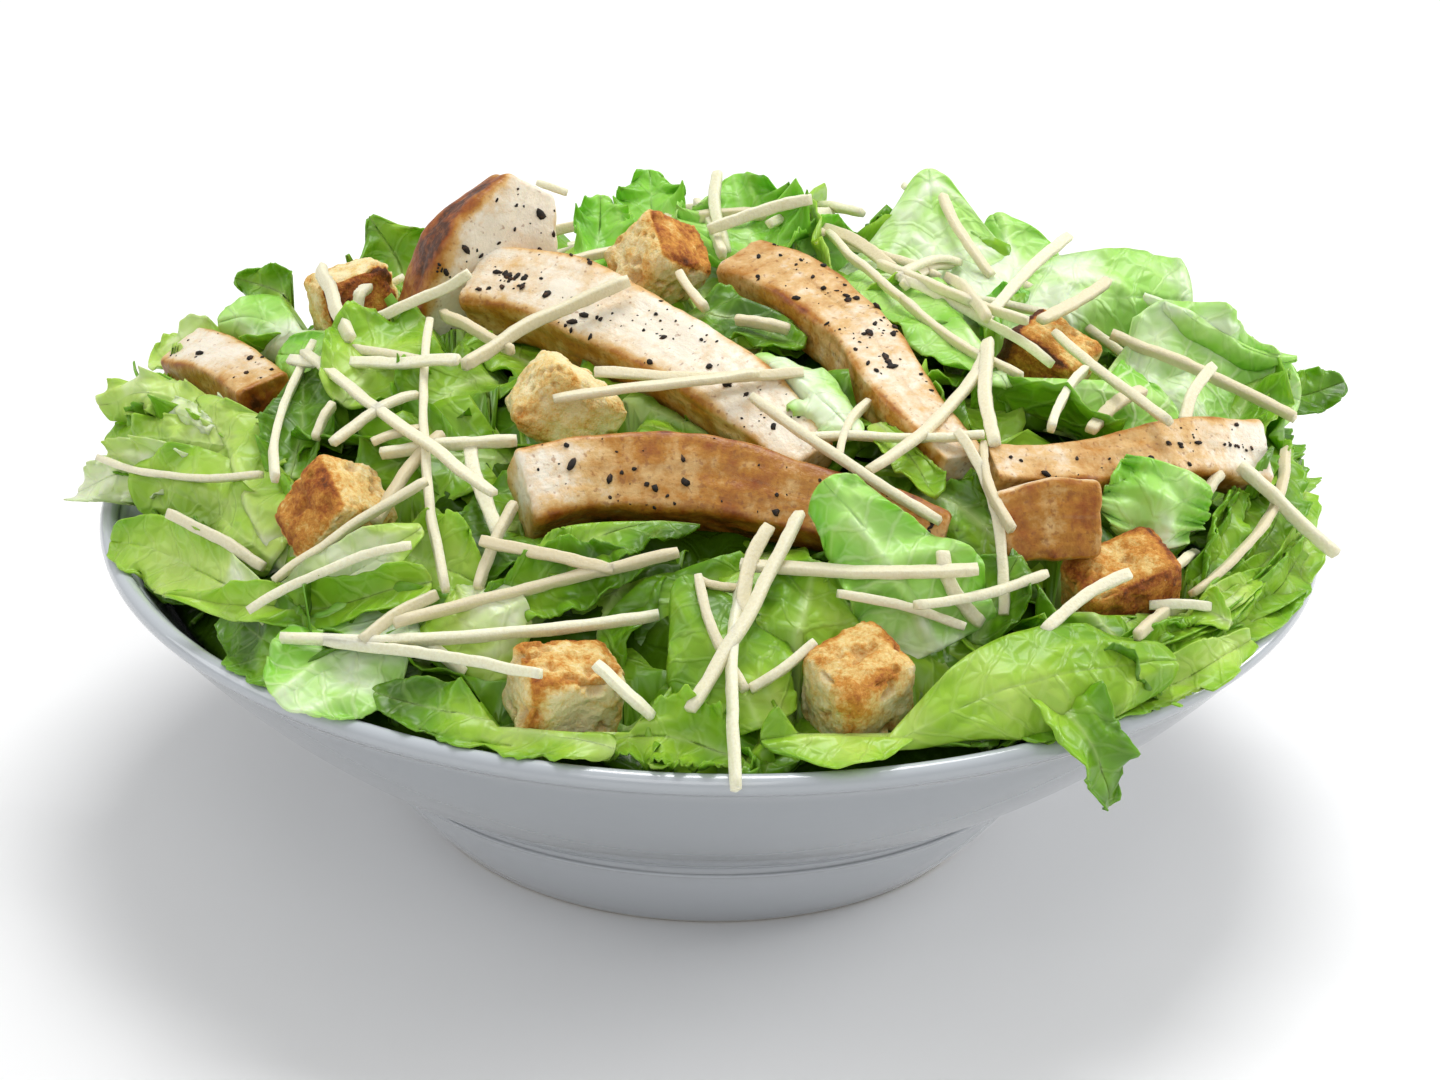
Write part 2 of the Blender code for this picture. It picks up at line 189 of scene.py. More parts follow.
def makePiece(name, points, faces, material, slot=None, replaced=(), uv=None, tones=None):
    mesh = bpy.data.meshes.new(name)
    mesh.from_pydata((np.asarray(points) * mm).tolist(), [], [f for group in faces for f in group.tolist()])
    corner = np.empty(len(mesh.loops), np.int32)
    mesh.loops.foreach_get("vertex_index", corner)
    if uv is not None:
        layer = mesh.uv_layers.new(name="alongAndAcross")
        layer.data.foreach_set("uv", uv[corner].astype(np.float32).ravel())
    if tones is not None:
        layer = mesh.attributes.new("tones", "FLOAT_COLOR", "POINT")
        colors = np.ones((len(tones), 4), np.float32)
        colors[:, :tones.shape[1]] = tones
        layer.data.foreach_set("color", colors.ravel())
    mesh.shade_smooth()
    mesh.materials.append(material)
    mesh.update()
    piece = bpy.data.objects.new(name, mesh)
    bpy.context.scene.collection.objects.link(piece)
    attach(piece, "root")
    if replaced:
        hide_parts(*replaced)
    return piece


def joinParts(parts):
    # parts of (points, face groups, uv, tones) as one, each part's faces numbered on from the last
    start = np.cumsum([0] + [len(part[0]) for part in parts])[:-1]
    faces = [group + offset for part, offset in zip(parts, start) for group in part[1]]
    return (np.vstack([part[0] for part in parts]), faces,
            np.vstack([part[2] for part in parts]), np.vstack([part[3] for part in parts]))


# ---- camera, floor and light

def makeCamera():
    view = {"place": (0.0, -0.809, 0.4245), "aim": (0.0021, 0.0, 0.0577), "lens": 107.2, "lean": 1.4}
    camera = bpy.data.objects.new("camera", bpy.data.cameras.new("camera"))
    camera.data.lens = view["lens"]
    camera.data.sensor_width = 36.0
    camera.data.clip_start = 0.05
    camera.data.clip_end = 20.0
    camera.location = view["place"]
    look = (Vector(view["aim"]) - Vector(view["place"])).to_track_quat("-Z", "Y")
    lean = Euler((0.0, 0.0, math.radians(view["lean"]))).to_quaternion()
    camera.rotation_mode = "QUATERNION"
    camera.rotation_quaternion = look @ lean
    bpy.context.scene.collection.objects.link(camera)
    bpy.context.scene.camera = camera


def makeStage():
    studio = {"floor": "#f2f2f2", "sky": "#ffffff", "skyStrength": 0.52,
              "lamps": {"overhead": ((0.1, 0.35, 1.2), 0.6, 9.0),
                        "rightWindow": ((1.2, 0.35, 0.6), 0.5, 7.0),
                        "leftWindow": ((-1.2, 0.1, 0.7), 0.7, 3.0),
                        "front": ((-0.1, -1.2, 1.0), 0.8, 3.6)}}
    material, tree, shader = startMaterial("paleStudioFloor", Roughness=0.9)
    shader.inputs["Base Color"].default_value = srgb(studio["floor"])
    mesh = bpy.data.meshes.new("floor")
    half = 4.0
    mesh.from_pydata([(-half, -half, 0), (half, -half, 0), (half, half, 0), (-half, half, 0)], [], [(0, 1, 2, 3)])
    mesh.materials.append(material)
    floor = bpy.data.objects.new("floor", mesh)
    bpy.context.scene.collection.objects.link(floor)
    world = bpy.data.worlds.new("studio")
    world.use_nodes = True
    sky = world.node_tree.nodes["Background"]
    sky.inputs["Color"].default_value = srgb(studio["sky"])
    sky.inputs["Strength"].default_value = studio["skyStrength"]
    bpy.context.scene.world = world
    bpy.context.scene.view_settings.view_transform = "Standard"
    for name, (place, size, power) in studio["lamps"].items():
        lamp = bpy.data.lights.new(name, "AREA")
        lamp.size = size
        lamp.energy = power
        lampObject = bpy.data.objects.new(name, lamp)
        lampObject.location = place
        lampObject.rotation_euler = (Vector((0, 0, 0.06)) - Vector(place)).to_track_quat("-Z", "Y").to_euler()
        bpy.context.scene.collection.objects.link(lampObject)


# ---- bowl

bowl = {"rim": 125.0, "height": 67.0, "band": 4.0, "footTop": 76.0, "foot": 59.0, "footHeight": 22.0,
        "step": 2.0, "land": 5.0, "recess": 2.5, "bulge": 2.4, "floor": 8.0, "floorRadius": 50.0, "segments": 256}
bowlInnerTop = (bowl["rim"] - bowl["band"] - 0.6, bowl["height"] - 2.0)
bowlInnerLow = (bowl["footTop"] - 3.0, bowl["footHeight"] + 1.5)


def bowedLine(start, end, bulge, count):
    # straight line plus 4 t (1 - t) times the bulge, square to it
    t = np.linspace(0.0, 1.0, count)[:, None]
    start, end = np.asarray(start, float), np.asarray(end, float)
    run = (end - start) / np.linalg.norm(end - start)
    return start + (end - start) * t + np.array([run[1], -run[0]]) * bulge * 4.0 * t * (1.0 - t)


def glazedPorcelain():
    # feldspar porcelain, turned and clear-glazed: a cool white body under a thin gloss, with painted shade on the wall
    # and painted light on the foot and rim, faint orange-peel in the glaze and a slightly warmer, duller unglazed land
    # under the foot
    material, tree, shader = startMaterial("glazedPorcelain", Roughness=0.16, IOR=1.52, Coat_Weight=0.5,
                                           Coat_Roughness=0.05, Coat_IOR=1.5)
    place = addNode(tree, "ShaderNodeTexCoord").outputs["Object"]
    cloud = addNode(tree, "ShaderNodeTexNoise", {"Vector": place, "Scale": 14.0, "Detail": 3.0})
    height = addNode(tree, "ShaderNodeSeparateXYZ", {"Vector": place}).outputs["Z"]
    # painted shade and painted light by height: the wall is painted greyer and the foot and the rim lighter, standing
    # in for the shade on the wall and the light on the foot and rim
    level = addNode(tree, "ShaderNodeMath", {0: height, 1: 14.0, 2: -0.01}, operation="MULTIPLY_ADD")
    level = addNode(tree, "ShaderNodeMath", {0: cloud.outputs["Fac"], 1: 0.02, 2: level.outputs[0]},
                    operation="MULTIPLY_ADD")
    glazeWithPaintedShade = addNode(tree, "ShaderNodeValToRGB", {"Fac": level.outputs[0]},
                    stops=[(0.27, "#bcc0c5"), (0.36, "#989da2"), (0.84, "#989da2"), (0.9, "#a6abb0"),
                           (0.95, "#c4cad0")])
    land = addNode(tree, "ShaderNodeMapRange", {"Value": height, "From Min": 0.0002, "From Max": 0.0009,
                                                "To Min": 1.0, "To Max": 0.0})
    shade = mixColors(tree, land.outputs["Result"], glazeWithPaintedShade.outputs["Color"], srgb("#b8b0a4"))
    tree.links.new(shade, shader.inputs["Base Color"])
    # the ripple of the glaze is about 2 mm across
    peel = addNode(tree, "ShaderNodeTexNoise", {"Vector": place, "Scale": 480.0, "Detail": 1.0})
    bump = addNode(tree, "ShaderNodeBump", {"Height": peel.outputs["Fac"], "Strength": 0.03, "Distance": 0.0004})
    tree.links.new(bump.outputs["Normal"], shader.inputs["Normal"])
    return material


def makeBowl():
    # a profile of radius and height turned about the axis: foot, step, bead, wall, rolled rim, inside
    b = bowl
    half = b["band"] / 2.0
    turn = np.radians(np.linspace(-75.0, 190.0, 22))
    rim = np.array([b["rim"] - half, b["height"] - half]) + half * np.stack([np.cos(turn), np.sin(turn)], 1)
    footInner = b["foot"] - b["land"] - 1.0
    corner = np.radians(np.linspace(-90.0, -15.0, 6))
    footEdge = np.array([b["foot"] - 1.2, 1.2]) + 1.2 * np.stack([np.cos(corner), np.sin(corner)], 1)
    footTop = np.array([b["footTop"], b["footHeight"]])
    footFace = bowedLine(footEdge[-1], footTop - (3.4, 4.4), 0.8, 12)
    # a fine bead runs under the step
    turnBead = np.radians(np.linspace(-60.0, 120.0, 9))
    bead = footTop - (2.7, 3.2) + 0.35 * np.stack([np.cos(turnBead), np.sin(turnBead)], 1)
    step = np.array([footTop + (-1.2, -0.9), footTop + (-0.2, 0.0), footTop + (0.9, 0.6), footTop + (1.5, 0.9)])
    wallFoot = footTop + (b["step"], 1.2)
    # the band below the rim stands out from the wall by a soft step
    wallTop = np.array([b["rim"] - 3.2, b["height"] - b["band"] - 1.8])
    wall = bowedLine(wallFoot, wallTop, b["bulge"], 40)
    inside = bowedLine(bowlInnerTop, bowlInnerLow, -b["bulge"], 28)
    shoulder = curveThrough([inside[-1], (b["floorRadius"] + 10.0, b["floor"] + 5.0),
                             (b["floorRadius"], b["floor"] + 0.8), (30.0, b["floor"]), (2.0, b["floor"])], 22)[1:]
    under = np.array([(2.0, b["recess"]), (footInner - 3.0, b["recess"]), (footInner - 0.6, 0.7), (footInner, 0.0)])
    profile = np.vstack([under, footEdge, footFace[1:], bead, step, wall, rim, inside, shoulder])
    turn = np.linspace(0.0, 2.0 * math.pi, b["segments"], endpoint=False)
    radius, height = profile[:, :1], np.broadcast_to(profile[:, 1:], (len(profile), b["segments"]))
    rings = np.stack([radius * np.cos(turn), radius * np.sin(turn), height], -1)
    points, faces = closedTube(rings)
    makePiece("porcelain_bowl", points, faces, glazedPorcelain(), "porcelain", ["bowl"])


def clearOfBowl(points, outside):
    # keeps leaves off the porcelain: inside they stay under the wall's slope, over the rim they lie on it,
    # and outside (outside is True) they stay off the outer wall
    radius = np.hypot(points[:, 0], points[:, 1])
    height = points[:, 2]
    inner = np.interp(height, (bowl["floor"], 13.0, bowlInnerLow[1], 44.0, bowlInnerTop[1]),
                      (10.0, 60.0, bowlInnerLow[0], 99.0, bowlInnerTop[0])) - 0.8
    outer = np.interp(height, (0.0, bowl["footHeight"], 44.0, 63.0, 66.0), (60.0, 80.0, 104.0, 124.8, 126.0)) + 0.5
    low = height < bowl["height"] + 0.5
    wanted = np.where(low & ~outside, np.minimum(radius, inner), radius)
    wanted = np.where(low & outside & (height < 66.0), np.maximum(radius, outer), wanted)
    overRim = (radius > 118.0) & (radius < 126.0) & (height > 61.0) & low & (outside | (radius > 121.0))
    points[:, 2] = np.where(overRim, bowl["height"] + 0.6, height)
    wanted = np.where(overRim, radius, wanted)
    points[:, :2] *= (wanted / np.maximum(radius, 1e-6))[:, None]
    return points


# ---- grilled chicken

# path: middle of the upper face; face: the way that face looks at the two ends; width, thickness: at the
# start, middle and end; sear: how browned the peppered face, the two long sides, the underside and the two
# ends are, from 0 (cream, freshly cut) to 1 (dark grill mark)
chicken = {
    "chicken_upright": dict(
        path=[(-50, 16, 93), (-46, 16, 105), (-42, 19, 117), (-38, 25, 126)],
        face=[(0.55, -0.80, 0.25), (0.45, -0.80, 0.40)], width=(30, 28, 12), thickness=(13, 13, 10),
        sear=dict(face=(0.12, 0.02, 0.02), right=0.10, left=0.86, under=0.6, start=0.3, end=0.12), patchy=0.2,
        dense=[(0.4, -0.7, 8)], pepper=48, seed=11),
    "chicken_long_left": dict(
        path=[(-50, 13, 111), (-35, 5, 112.5), (-20, -8, 111), (-5, -22, 108.5), (9, -36, 104), (19, -48, 98)],
        face=[(-0.35, -0.40, 0.87), (-0.20, -0.25, 0.93)], width=(17, 18, 12), thickness=(13, 12, 8),
        sear=dict(face=(0.2, 0.06, 0.12), right=0.50, left=(0.26, 0.42, 0.56), under=0.85, start=0.06, end=0.35),
        dense=[(0.09, 0.1, 26), (0.36, 0.3, 5), (0.86, 0.2, 7)], pepper=62, seed=23),
    "chicken_long_right": dict(
        path=[(4, 21, 114), (13, 12, 114), (22, 0, 113), (30, -14, 111), (37, -32, 107), (49, -51, 100)],
        face=[(-0.25, -0.05, 0.97), (0.15, -0.10, 0.98)], width=(14, 15, 11), thickness=(12, 11, 8),
        sear=dict(face=(0.4, 0.26, 0.12), right=0.50, left=(0.36, 0.62, 0.4), under=0.85, start=0.35, end=0.16),
        dense=[(0.66, 0.2, 9), (0.3, 0.0, 4)], pepper=62, seed=37),
    "chicken_front": dict(
        path=[(-35, -65, 98), (-22, -60, 99), (-2, -60, 99), (17, -65, 97), (31, -69, 95), (44, -72, 92)],
        face=[(-0.10, -0.74, 0.66), (0.15, -0.72, 0.68)], width=(16, 16, 11), thickness=(12, 12, 9),
        sear=dict(face=(0.3, 0.56, 0.42), right=0.8, left=(0.68, 0.6, 0.4), under=0.8, start=0.2, end=0.3),
        patchy=0.36, pepper=48, seed=41),
    "chicken_right": dict(
        path=[(54, -55, 101), (67, -50, 99), (80, -43, 97.5), (95, -32, 95.5), (111, -24, 91)],
        face=[(-0.10, -0.45, 0.88), (0.20, -0.65, 0.70)], width=(9, 11, 15), thickness=(6, 8, 10),
        sear=dict(face=(0.26, 0.44, 0.05), right=0.55, left=0.44, under=1.0, start=0.4, end=0.12),
        dense=[(0.9, 0.0, 12), (0.7, -0.1, 8)], pepper=18, seed=53),
    "chicken_chunk": dict(
        path=[(55.5, -69, 93), (65, -67, 94), (74.5, -64, 93)],
        face=[(-0.10, -0.90, 0.42), (0.10, -0.90, 0.42)], width=(14, 16, 14), thickness=(6, 6, 6),
        sear=dict(face=0.62, right=0.5, left=0.16, under=0.6, start=0.5, end=0.4), pepper=0, seed=61),
    "chicken_left": dict(
        path=[(-113, 30, 87), (-103, 17, 90), (-92, 0, 91)],
        face=[(-0.20, -0.40, 0.90), (0.10, -0.45, 0.88)], width=(12, 13, 12), thickness=(9, 10, 10),
        sear=dict(face=(0.12, 0.16, 0.3), right=0.60, left=0.55, under=0.8, start=0.2, end=0.75), pepper=14, seed=71),
}
meatFinish = {"cut": "#f0e7d4", "warm": "#dab478", "gold": "#b87d29", "brown": "#934a0b", "mark": "#4c2405"}


def grilledChicken():
    # breast fillet, seared on a grill and sliced: cream fibres on the cut faces, gold where the heat reached,
    # brown along the edges that touched the bars, with a moist satin surface
    material, tree, shader = startMaterial("grilledChickenBreast", Roughness=0.42, IOR=1.42,
                                           Subsurface_Weight=0.12, Subsurface_Scale=0.0015,
                                           Coat_Weight=0.15, Coat_Roughness=0.3)
    shader.inputs["Subsurface Radius"].default_value = (1.0, 0.6, 0.35)
    tones = addNode(tree, "ShaderNodeAttribute", attribute_name="tones")
    sear = addNode(tree, "ShaderNodeSeparateColor", {"Color": tones.outputs["Color"]})
    place = addNode(tree, "ShaderNodeTexCoord")
    # mottling of 6 mm and of 1.5 mm
    broad = addNode(tree, "ShaderNodeTexNoise", {"Vector": place.outputs["Object"], "Scale": 165.0, "Detail": 4.0,
                                                 "Roughness": 0.6})
    fine = addNode(tree, "ShaderNodeTexNoise", {"Vector": place.outputs["Object"], "Scale": 700.0, "Detail": 3.0,
                                                "Roughness": 0.65})
    broadPart = addNode(tree, "ShaderNodeMapRange", {"Value": broad.outputs["Fac"], "From Min": 0.3, "From Max": 0.7,
                                                     "To Min": -0.32, "To Max": 0.3}, clamp=False)
    finePart = addNode(tree, "ShaderNodeMapRange", {"Value": fine.outputs["Fac"], "From Min": 0.3, "From Max": 0.7,
                                                    "To Min": -0.05, "To Max": 0.07}, clamp=False)
    # the mottling grows with the browning
    amount = addNode(tree, "ShaderNodeMath", {0: sear.outputs["Red"], 1: 0.9, 2: 0.22}, operation="MULTIPLY_ADD")
    spread = addNode(tree, "ShaderNodeMath", {0: broadPart.outputs["Result"], 1: amount.outputs[0],
                                              2: sear.outputs["Red"]}, operation="MULTIPLY_ADD")
    level = addNode(tree, "ShaderNodeMath", {0: spread.outputs[0], 1: finePart.outputs["Result"]}, operation="ADD")
    color = addNode(tree, "ShaderNodeValToRGB", {"Fac": level.outputs[0]},
                    stops=[(0.08, meatFinish["cut"]), (0.32, meatFinish["warm"]), (0.55, meatFinish["gold"]),
                           (0.82, meatFinish["brown"]), (1.0, meatFinish["mark"])])
    # muscle fibres 1.2 mm apart run along the strip, drawn as streaks stretched ten to one
    stretch = addNode(tree, "ShaderNodeMapping", {"Vector": place.outputs["UV"], "Scale": (7.0, 0.7, 1.0)})
    fibre = addNode(tree, "ShaderNodeTexNoise", {"Vector": stretch.outputs["Vector"], "Scale": 1.2, "Detail": 3.0,
                                                 "Distortion": 0.4})
    fibreColor = addNode(tree, "ShaderNodeValToRGB", {"Fac": fibre.outputs["Fac"]},
                         stops=[(0.35, "#d9c9b0"), (0.6, "#ffffff")])
    streaked = mixColors(tree, 0.1, color.outputs["Color"], fibreColor.outputs["Color"], "MULTIPLY")
    # brown specks of about 1 mm, more of them where it is browned
    speckle = addNode(tree, "ShaderNodeTexNoise", {"Vector": place.outputs["Object"], "Scale": 850.0, "Detail": 2.0})
    speckAt = addNode(tree, "ShaderNodeMath", {0: sear.outputs["Red"], 1: 0.16, 2: speckle.outputs["Fac"]},
                      operation="MULTIPLY_ADD")
    speckShare = addNode(tree, "ShaderNodeMapRange", {"Value": speckAt.outputs[0], "From Min": 0.66, "From Max": 0.76,
                                                      "To Min": 0.0, "To Max": 0.55})
    streaked = mixColors(tree, speckShare.outputs["Result"], streaked, srgb("#8a4f20"))
    tree.links.new(streaked, shader.inputs["Base Color"])
    rough = addNode(tree, "ShaderNodeMapRange", {"Value": fine.outputs["Fac"], "From Min": 0.3, "From Max": 0.7,
                                                 "To Min": 0.34, "To Max": 0.52})
    tree.links.new(rough.outputs["Result"], shader.inputs["Roughness"])
    lift = addNode(tree, "ShaderNodeMath", {0: fibre.outputs["Fac"], 1: 0.4, 2: fine.outputs["Fac"]},
                   operation="MULTIPLY_ADD")
    bump = addNode(tree, "ShaderNodeBump", {"Height": lift.outputs[0], "Strength": 0.4, "Distance": 0.0007})
    tree.links.new(bump.outputs["Normal"], shader.inputs["Normal"])
    return material


def stripShape(strip, stations):
    # middle line, frame and half sizes of a strip
    path = curveThrough(strip["path"], stations)
    share = np.linspace(0.0, 1.0, stations)[:, None]
    along, face, side = carriedFrame(path, strip["face"], share)
    width = np.interp(share[:, 0], (0.0, 0.5, 1.0), strip["width"])
    thick = np.interp(share[:, 0], (0.0, 0.5, 1.0), strip["thickness"])
    return path - face * thick[:, None] / 2.0, along, face, side, width / 2.0, thick / 2.0


def makeStrip(name, strip, material):
    # a squarish oblong |x|^8 + |y|^8 = 1 carried along the path; it rounds off over 1.2 mm at each end, and the
    # end faces close in rings towards their middle; lumps of 9 mm and fibres of 1.5 mm roughen it
    stations, sides, capRings, roundRings = 96, 88, 9, 6
    middle, along, face, side, halfWidth, halfThick = stripShape(strip, stations)
    length = np.r_[0.0, np.cumsum(np.linalg.norm(np.diff(middle, axis=0), axis=1))]
    roundOff = 1.2
    # even steps round a square, drawn in to the oblong
    walk = np.linspace(0.0, 8.0, sides, endpoint=False)
    square = np.stack([np.interp(walk, (0, 1, 3, 5, 7, 8), (0, 1, 1, -1, -1, 0)),
                       np.interp(walk, (0, 1, 3, 5, 7, 8), (1, 1, -1, -1, 1, 1))])
    across, upward = square / np.sum(square ** 8, axis=0) ** 0.125
    # station and scale of every ring, from one end's middle to the other's
    cap = np.linspace(0.05, 0.86, capRings)
    quarter = np.linspace(0.0, math.pi / 2.0, roundRings + 1)[1:]
    roundIn = roundOff * (1.0 - np.cos(quarter))
    roundScale = 0.86 + 0.14 * np.sin(quarter)
    inner = np.linspace(roundOff, length[-1] - roundOff, stations)[1:-1]
    distance = np.r_[np.zeros(capRings), roundIn, inner, length[-1] - roundIn[::-1], np.full(capRings, length[-1])]
    scale = np.r_[cap, roundScale, np.ones(len(inner)), roundScale[::-1], cap[::-1]]

    def carried(values):
        if values.ndim == 1:
            return np.interp(distance, length, values)
        return np.stack([np.interp(distance, length, values[:, axis]) for axis in range(3)], -1)

    at, run, up, aside = carried(middle), carried(along), carried(face), carried(side)
    half = carried(halfWidth) * scale * (1.0 + 0.05 * np.sin(distance / 7.0 + strip["seed"]))
    deep = carried(halfThick) * scale * (1.0 + 0.04 * np.sin(distance / 5.3 + 2.0 * strip["seed"]))
    rings = (at[:, None] + aside[:, None] * (across[None] * half[:, None])[..., None]
             + up[:, None] * (upward[None] * deep[:, None])[..., None])
    out = unit(aside[:, None] * (across * across ** 6)[None, :, None]
               + up[:, None] * (upward * upward ** 6)[None, :, None])
    endShare = np.r_[np.linspace(1.0, 0.3, capRings + roundRings), np.zeros(len(inner)),
                     np.linspace(0.3, 1.0, capRings + roundRings)]
    endSign = np.where(distance < length[-1] / 2.0, -1.0, 1.0)
    out = unit(out * (1.0 - endShare)[:, None, None] + run[:, None] * (endShare * endSign)[:, None, None])
    rounded = rings.reshape(-1, 3)
    coarse = roughLumps(rounded, 9.0, 3, strip["seed"]).reshape(rings.shape[:2])
    fibrous = np.stack(np.broadcast_arrays(across[None] * half[:, None] / 1.3, upward[None] * deep[:, None] / 1.3,
                                           distance[:, None] / 11.0), -1)
    fibres = lumps(fibrous, 1.0, strip["seed"] + 5)
    pits = lumps(rounded, 2.6, strip["seed"] + 2).reshape(rings.shape[:2])
    rings = rings + out * (0.55 * coarse + 0.2 * fibres + 0.14 * pits)[..., None]
    # browning of each face, blended by which way the section looks, and more along the sharp edges
    sear = strip["sear"]
    toUp, toSide = upward * upward ** 6, across * across ** 6
    weight = np.abs(toUp) + np.abs(toSide)
    browned = {key: np.interp(distance / length[-1], (0.0, 0.5, 1.0), np.broadcast_to(sear[key], 3))[:, None]
               for key in ("face", "under", "right", "left")}
    faces = (np.clip(toUp, 0, 1) * browned["face"] + np.clip(-toUp, 0, 1) * browned["under"]
             + np.clip(toSide, 0, 1) * browned["right"] + np.clip(-toSide, 0, 1) * browned["left"]) / weight
    ends = np.where(endSign < 0, sear["start"], sear["end"])
    cooked = faces * (1.0 - endShare)[:, None] + (ends * endShare)[:, None]
    edge = np.clip(1.0 - np.abs(np.abs(upward) - np.abs(across)) * 4.0, 0.0, 1.0)[None] * (1.0 - endShare)[:, None]
    patches = roughLumps(rounded, 15.0, 3, strip["seed"] + 9).reshape(rings.shape[:2])
    cooked = cooked + 0.3 * edge * easeBetween(-0.4, 0.6, coarse) + strip.get("patchy", 0.14) * patches
    tones = np.stack([cooked, edge * np.ones_like(cooked), coarse * 0.5 + 0.5], -1).reshape(-1, 3)
    perimeter = np.cumsum(np.r_[0.0, np.linalg.norm(np.diff(np.stack([across * 8, upward * 6], 1), axis=0), axis=1)])
    uv = np.stack(np.broadcast_arrays(perimeter[None] / 10.0, distance[:, None] / 10.0), -1).reshape(-1, 2)
    points, groups = closedTube(rings)
    uv = np.vstack([uv, uv[0], uv[-1]])
    tones = np.vstack([tones, tones[0], tones[-1]])
    known = [name] if name in frame["nodes"] else []
    makePiece("sliced_" + name, points, groups, material, "grilled_chicken", known, uv, tones)
    body = slice(capRings + roundRings, -capRings - roundRings)
    return rings[body], out[body]


# a thin browned shaving that lies on the leaves to the left, too small for a solid of its own
shaving = dict(path=[(-74, -2, 94), (-69, -5, 96), (-64, -9, 97)], face=[(-0.2, -0.5, 0.85), (0.0, -0.5, 0.87)],
               width=(4, 6, 3), thickness=(2.4, 3, 2),
               sear=dict(face=0.75, right=0.6, left=0.8, under=0.8, start=0.7, end=0.7), pepper=0, seed=83)


# ---- cracked pepper

def crackedPepper():
    # dried berries broken in a mill: near-black husk with brown inner flakes, matt
    material, tree, shader = startMaterial("crackedBlackPepper", Roughness=0.78, IOR=1.45)
    place = addNode(tree, "ShaderNodeTexCoord").outputs["Object"]
    grain = addNode(tree, "ShaderNodeTexNoise", {"Vector": place, "Scale": 900.0, "Detail": 2.0})
    color = addNode(tree, "ShaderNodeValToRGB", {"Fac": grain.outputs["Fac"]},
                    stops=[(0.42, "#17130f"), (0.6, "#2c2018"), (0.72, "#5c3c22")])
    tree.links.new(color.outputs["Color"], shader.inputs["Base Color"])
    return material


def flakeForm(rng, size):
    # an octahedron cut once (18 points, 32 faces), its points moved in and out by up to a third
    points = [(1, 0, 0), (-1, 0, 0), (0, 1, 0), (0, -1, 0), (0, 0, 1), (0, 0, -1)]
    pairs = [(0, 2), (2, 1), (1, 3), (3, 0), (0, 4), (2, 4), (1, 4), (3, 4), (0, 5), (2, 5), (1, 5), (3, 5)]
    points = np.array(points + [tuple((np.array(points[a]) + points[b]) * 0.72) for a, b in pairs], float)
    half = {frozenset(pair): 6 + index for index, pair in enumerate(pairs)}
    faces = []
    for a, b, c in [(0, 2, 4), (2, 1, 4), (1, 3, 4), (3, 0, 4), (2, 0, 5), (1, 2, 5), (3, 1, 5), (0, 3, 5)]:
        ab, bc, ca = half[frozenset((a, b))], half[frozenset((b, c))], half[frozenset((c, a))]
        faces += [(a, ab, ca), (ab, b, bc), (ca, bc, c), (ab, bc, ca)]
    return points * rng.uniform(0.66, 1.15, (18, 1)) * size, np.array(faces)


def makePepper(surfaces):
    # flakes of 0.4 to 2.2 mm lie on the peppered faces, a few large and most small
    pepper = {"small": 0.2, "large": 1.1, "sunk": 0.2, "seed": 5, "clusters": 5}
    rng = np.random.default_rng(pepper["seed"])
    parts = []
    for name, (grid, out) in surfaces.items():
        rows, columns = grid.shape[:2]
        reach = columns * 0.125
        clusters = rng.uniform((0.0, -reach), (rows, reach), (pepper["clusters"], 2))
        # where a strip has a thick patch: share of its length, share of its width, how many flakes
        patches = [(at * rows, off * reach) for at, off, count in chicken[name].get("dense", ()) for _ in range(count)]
        spots = [np.array(patch) + rng.normal(0.0, 2.6, 2) for patch in patches]
        for step in range(chicken[name]["pepper"]):
            spot = np.array([rng.uniform(0.0, rows), rng.uniform(-reach, reach)])
            if rng.uniform() < 0.4:
                spot = clusters[rng.integers(len(clusters))] + rng.normal(0.0, 3.0, 2)
            spots.append(spot)
        for number, spot in enumerate(spots):
            row = int(np.clip(spot[0], 1, rows - 2))
            column = int(np.clip(spot[1], -reach, reach)) % columns
            coarse = 2.0 if number < len(patches) else 3.2
            size = pepper["small"] + (pepper["large"] - pepper["small"]) * rng.uniform() ** coarse
            flake, faces = flakeForm(rng, size)
            normal = out[row, column]
            first = unit(np.cross(normal, rng.normal(size=3)))
            second = np.cross(normal, first)
            flake = flake * (rng.uniform(0.8, 1.5), rng.uniform(0.6, 1.0), rng.uniform(0.35, 0.6))
            placed = grid[row, column] + flake @ np.stack([first, second, normal])
            placed += normal * size * pepper["sunk"]
            parts.append((placed, [faces], np.zeros((len(flake), 2)), np.zeros((len(flake), 3))))
    points, faces, uv, tones = joinParts(parts)
    makePiece("cracked_pepper", points, faces, crackedPepper(), "cracked_pepper")
    print("pepper:", len(parts), "flakes")


# ---- croutons

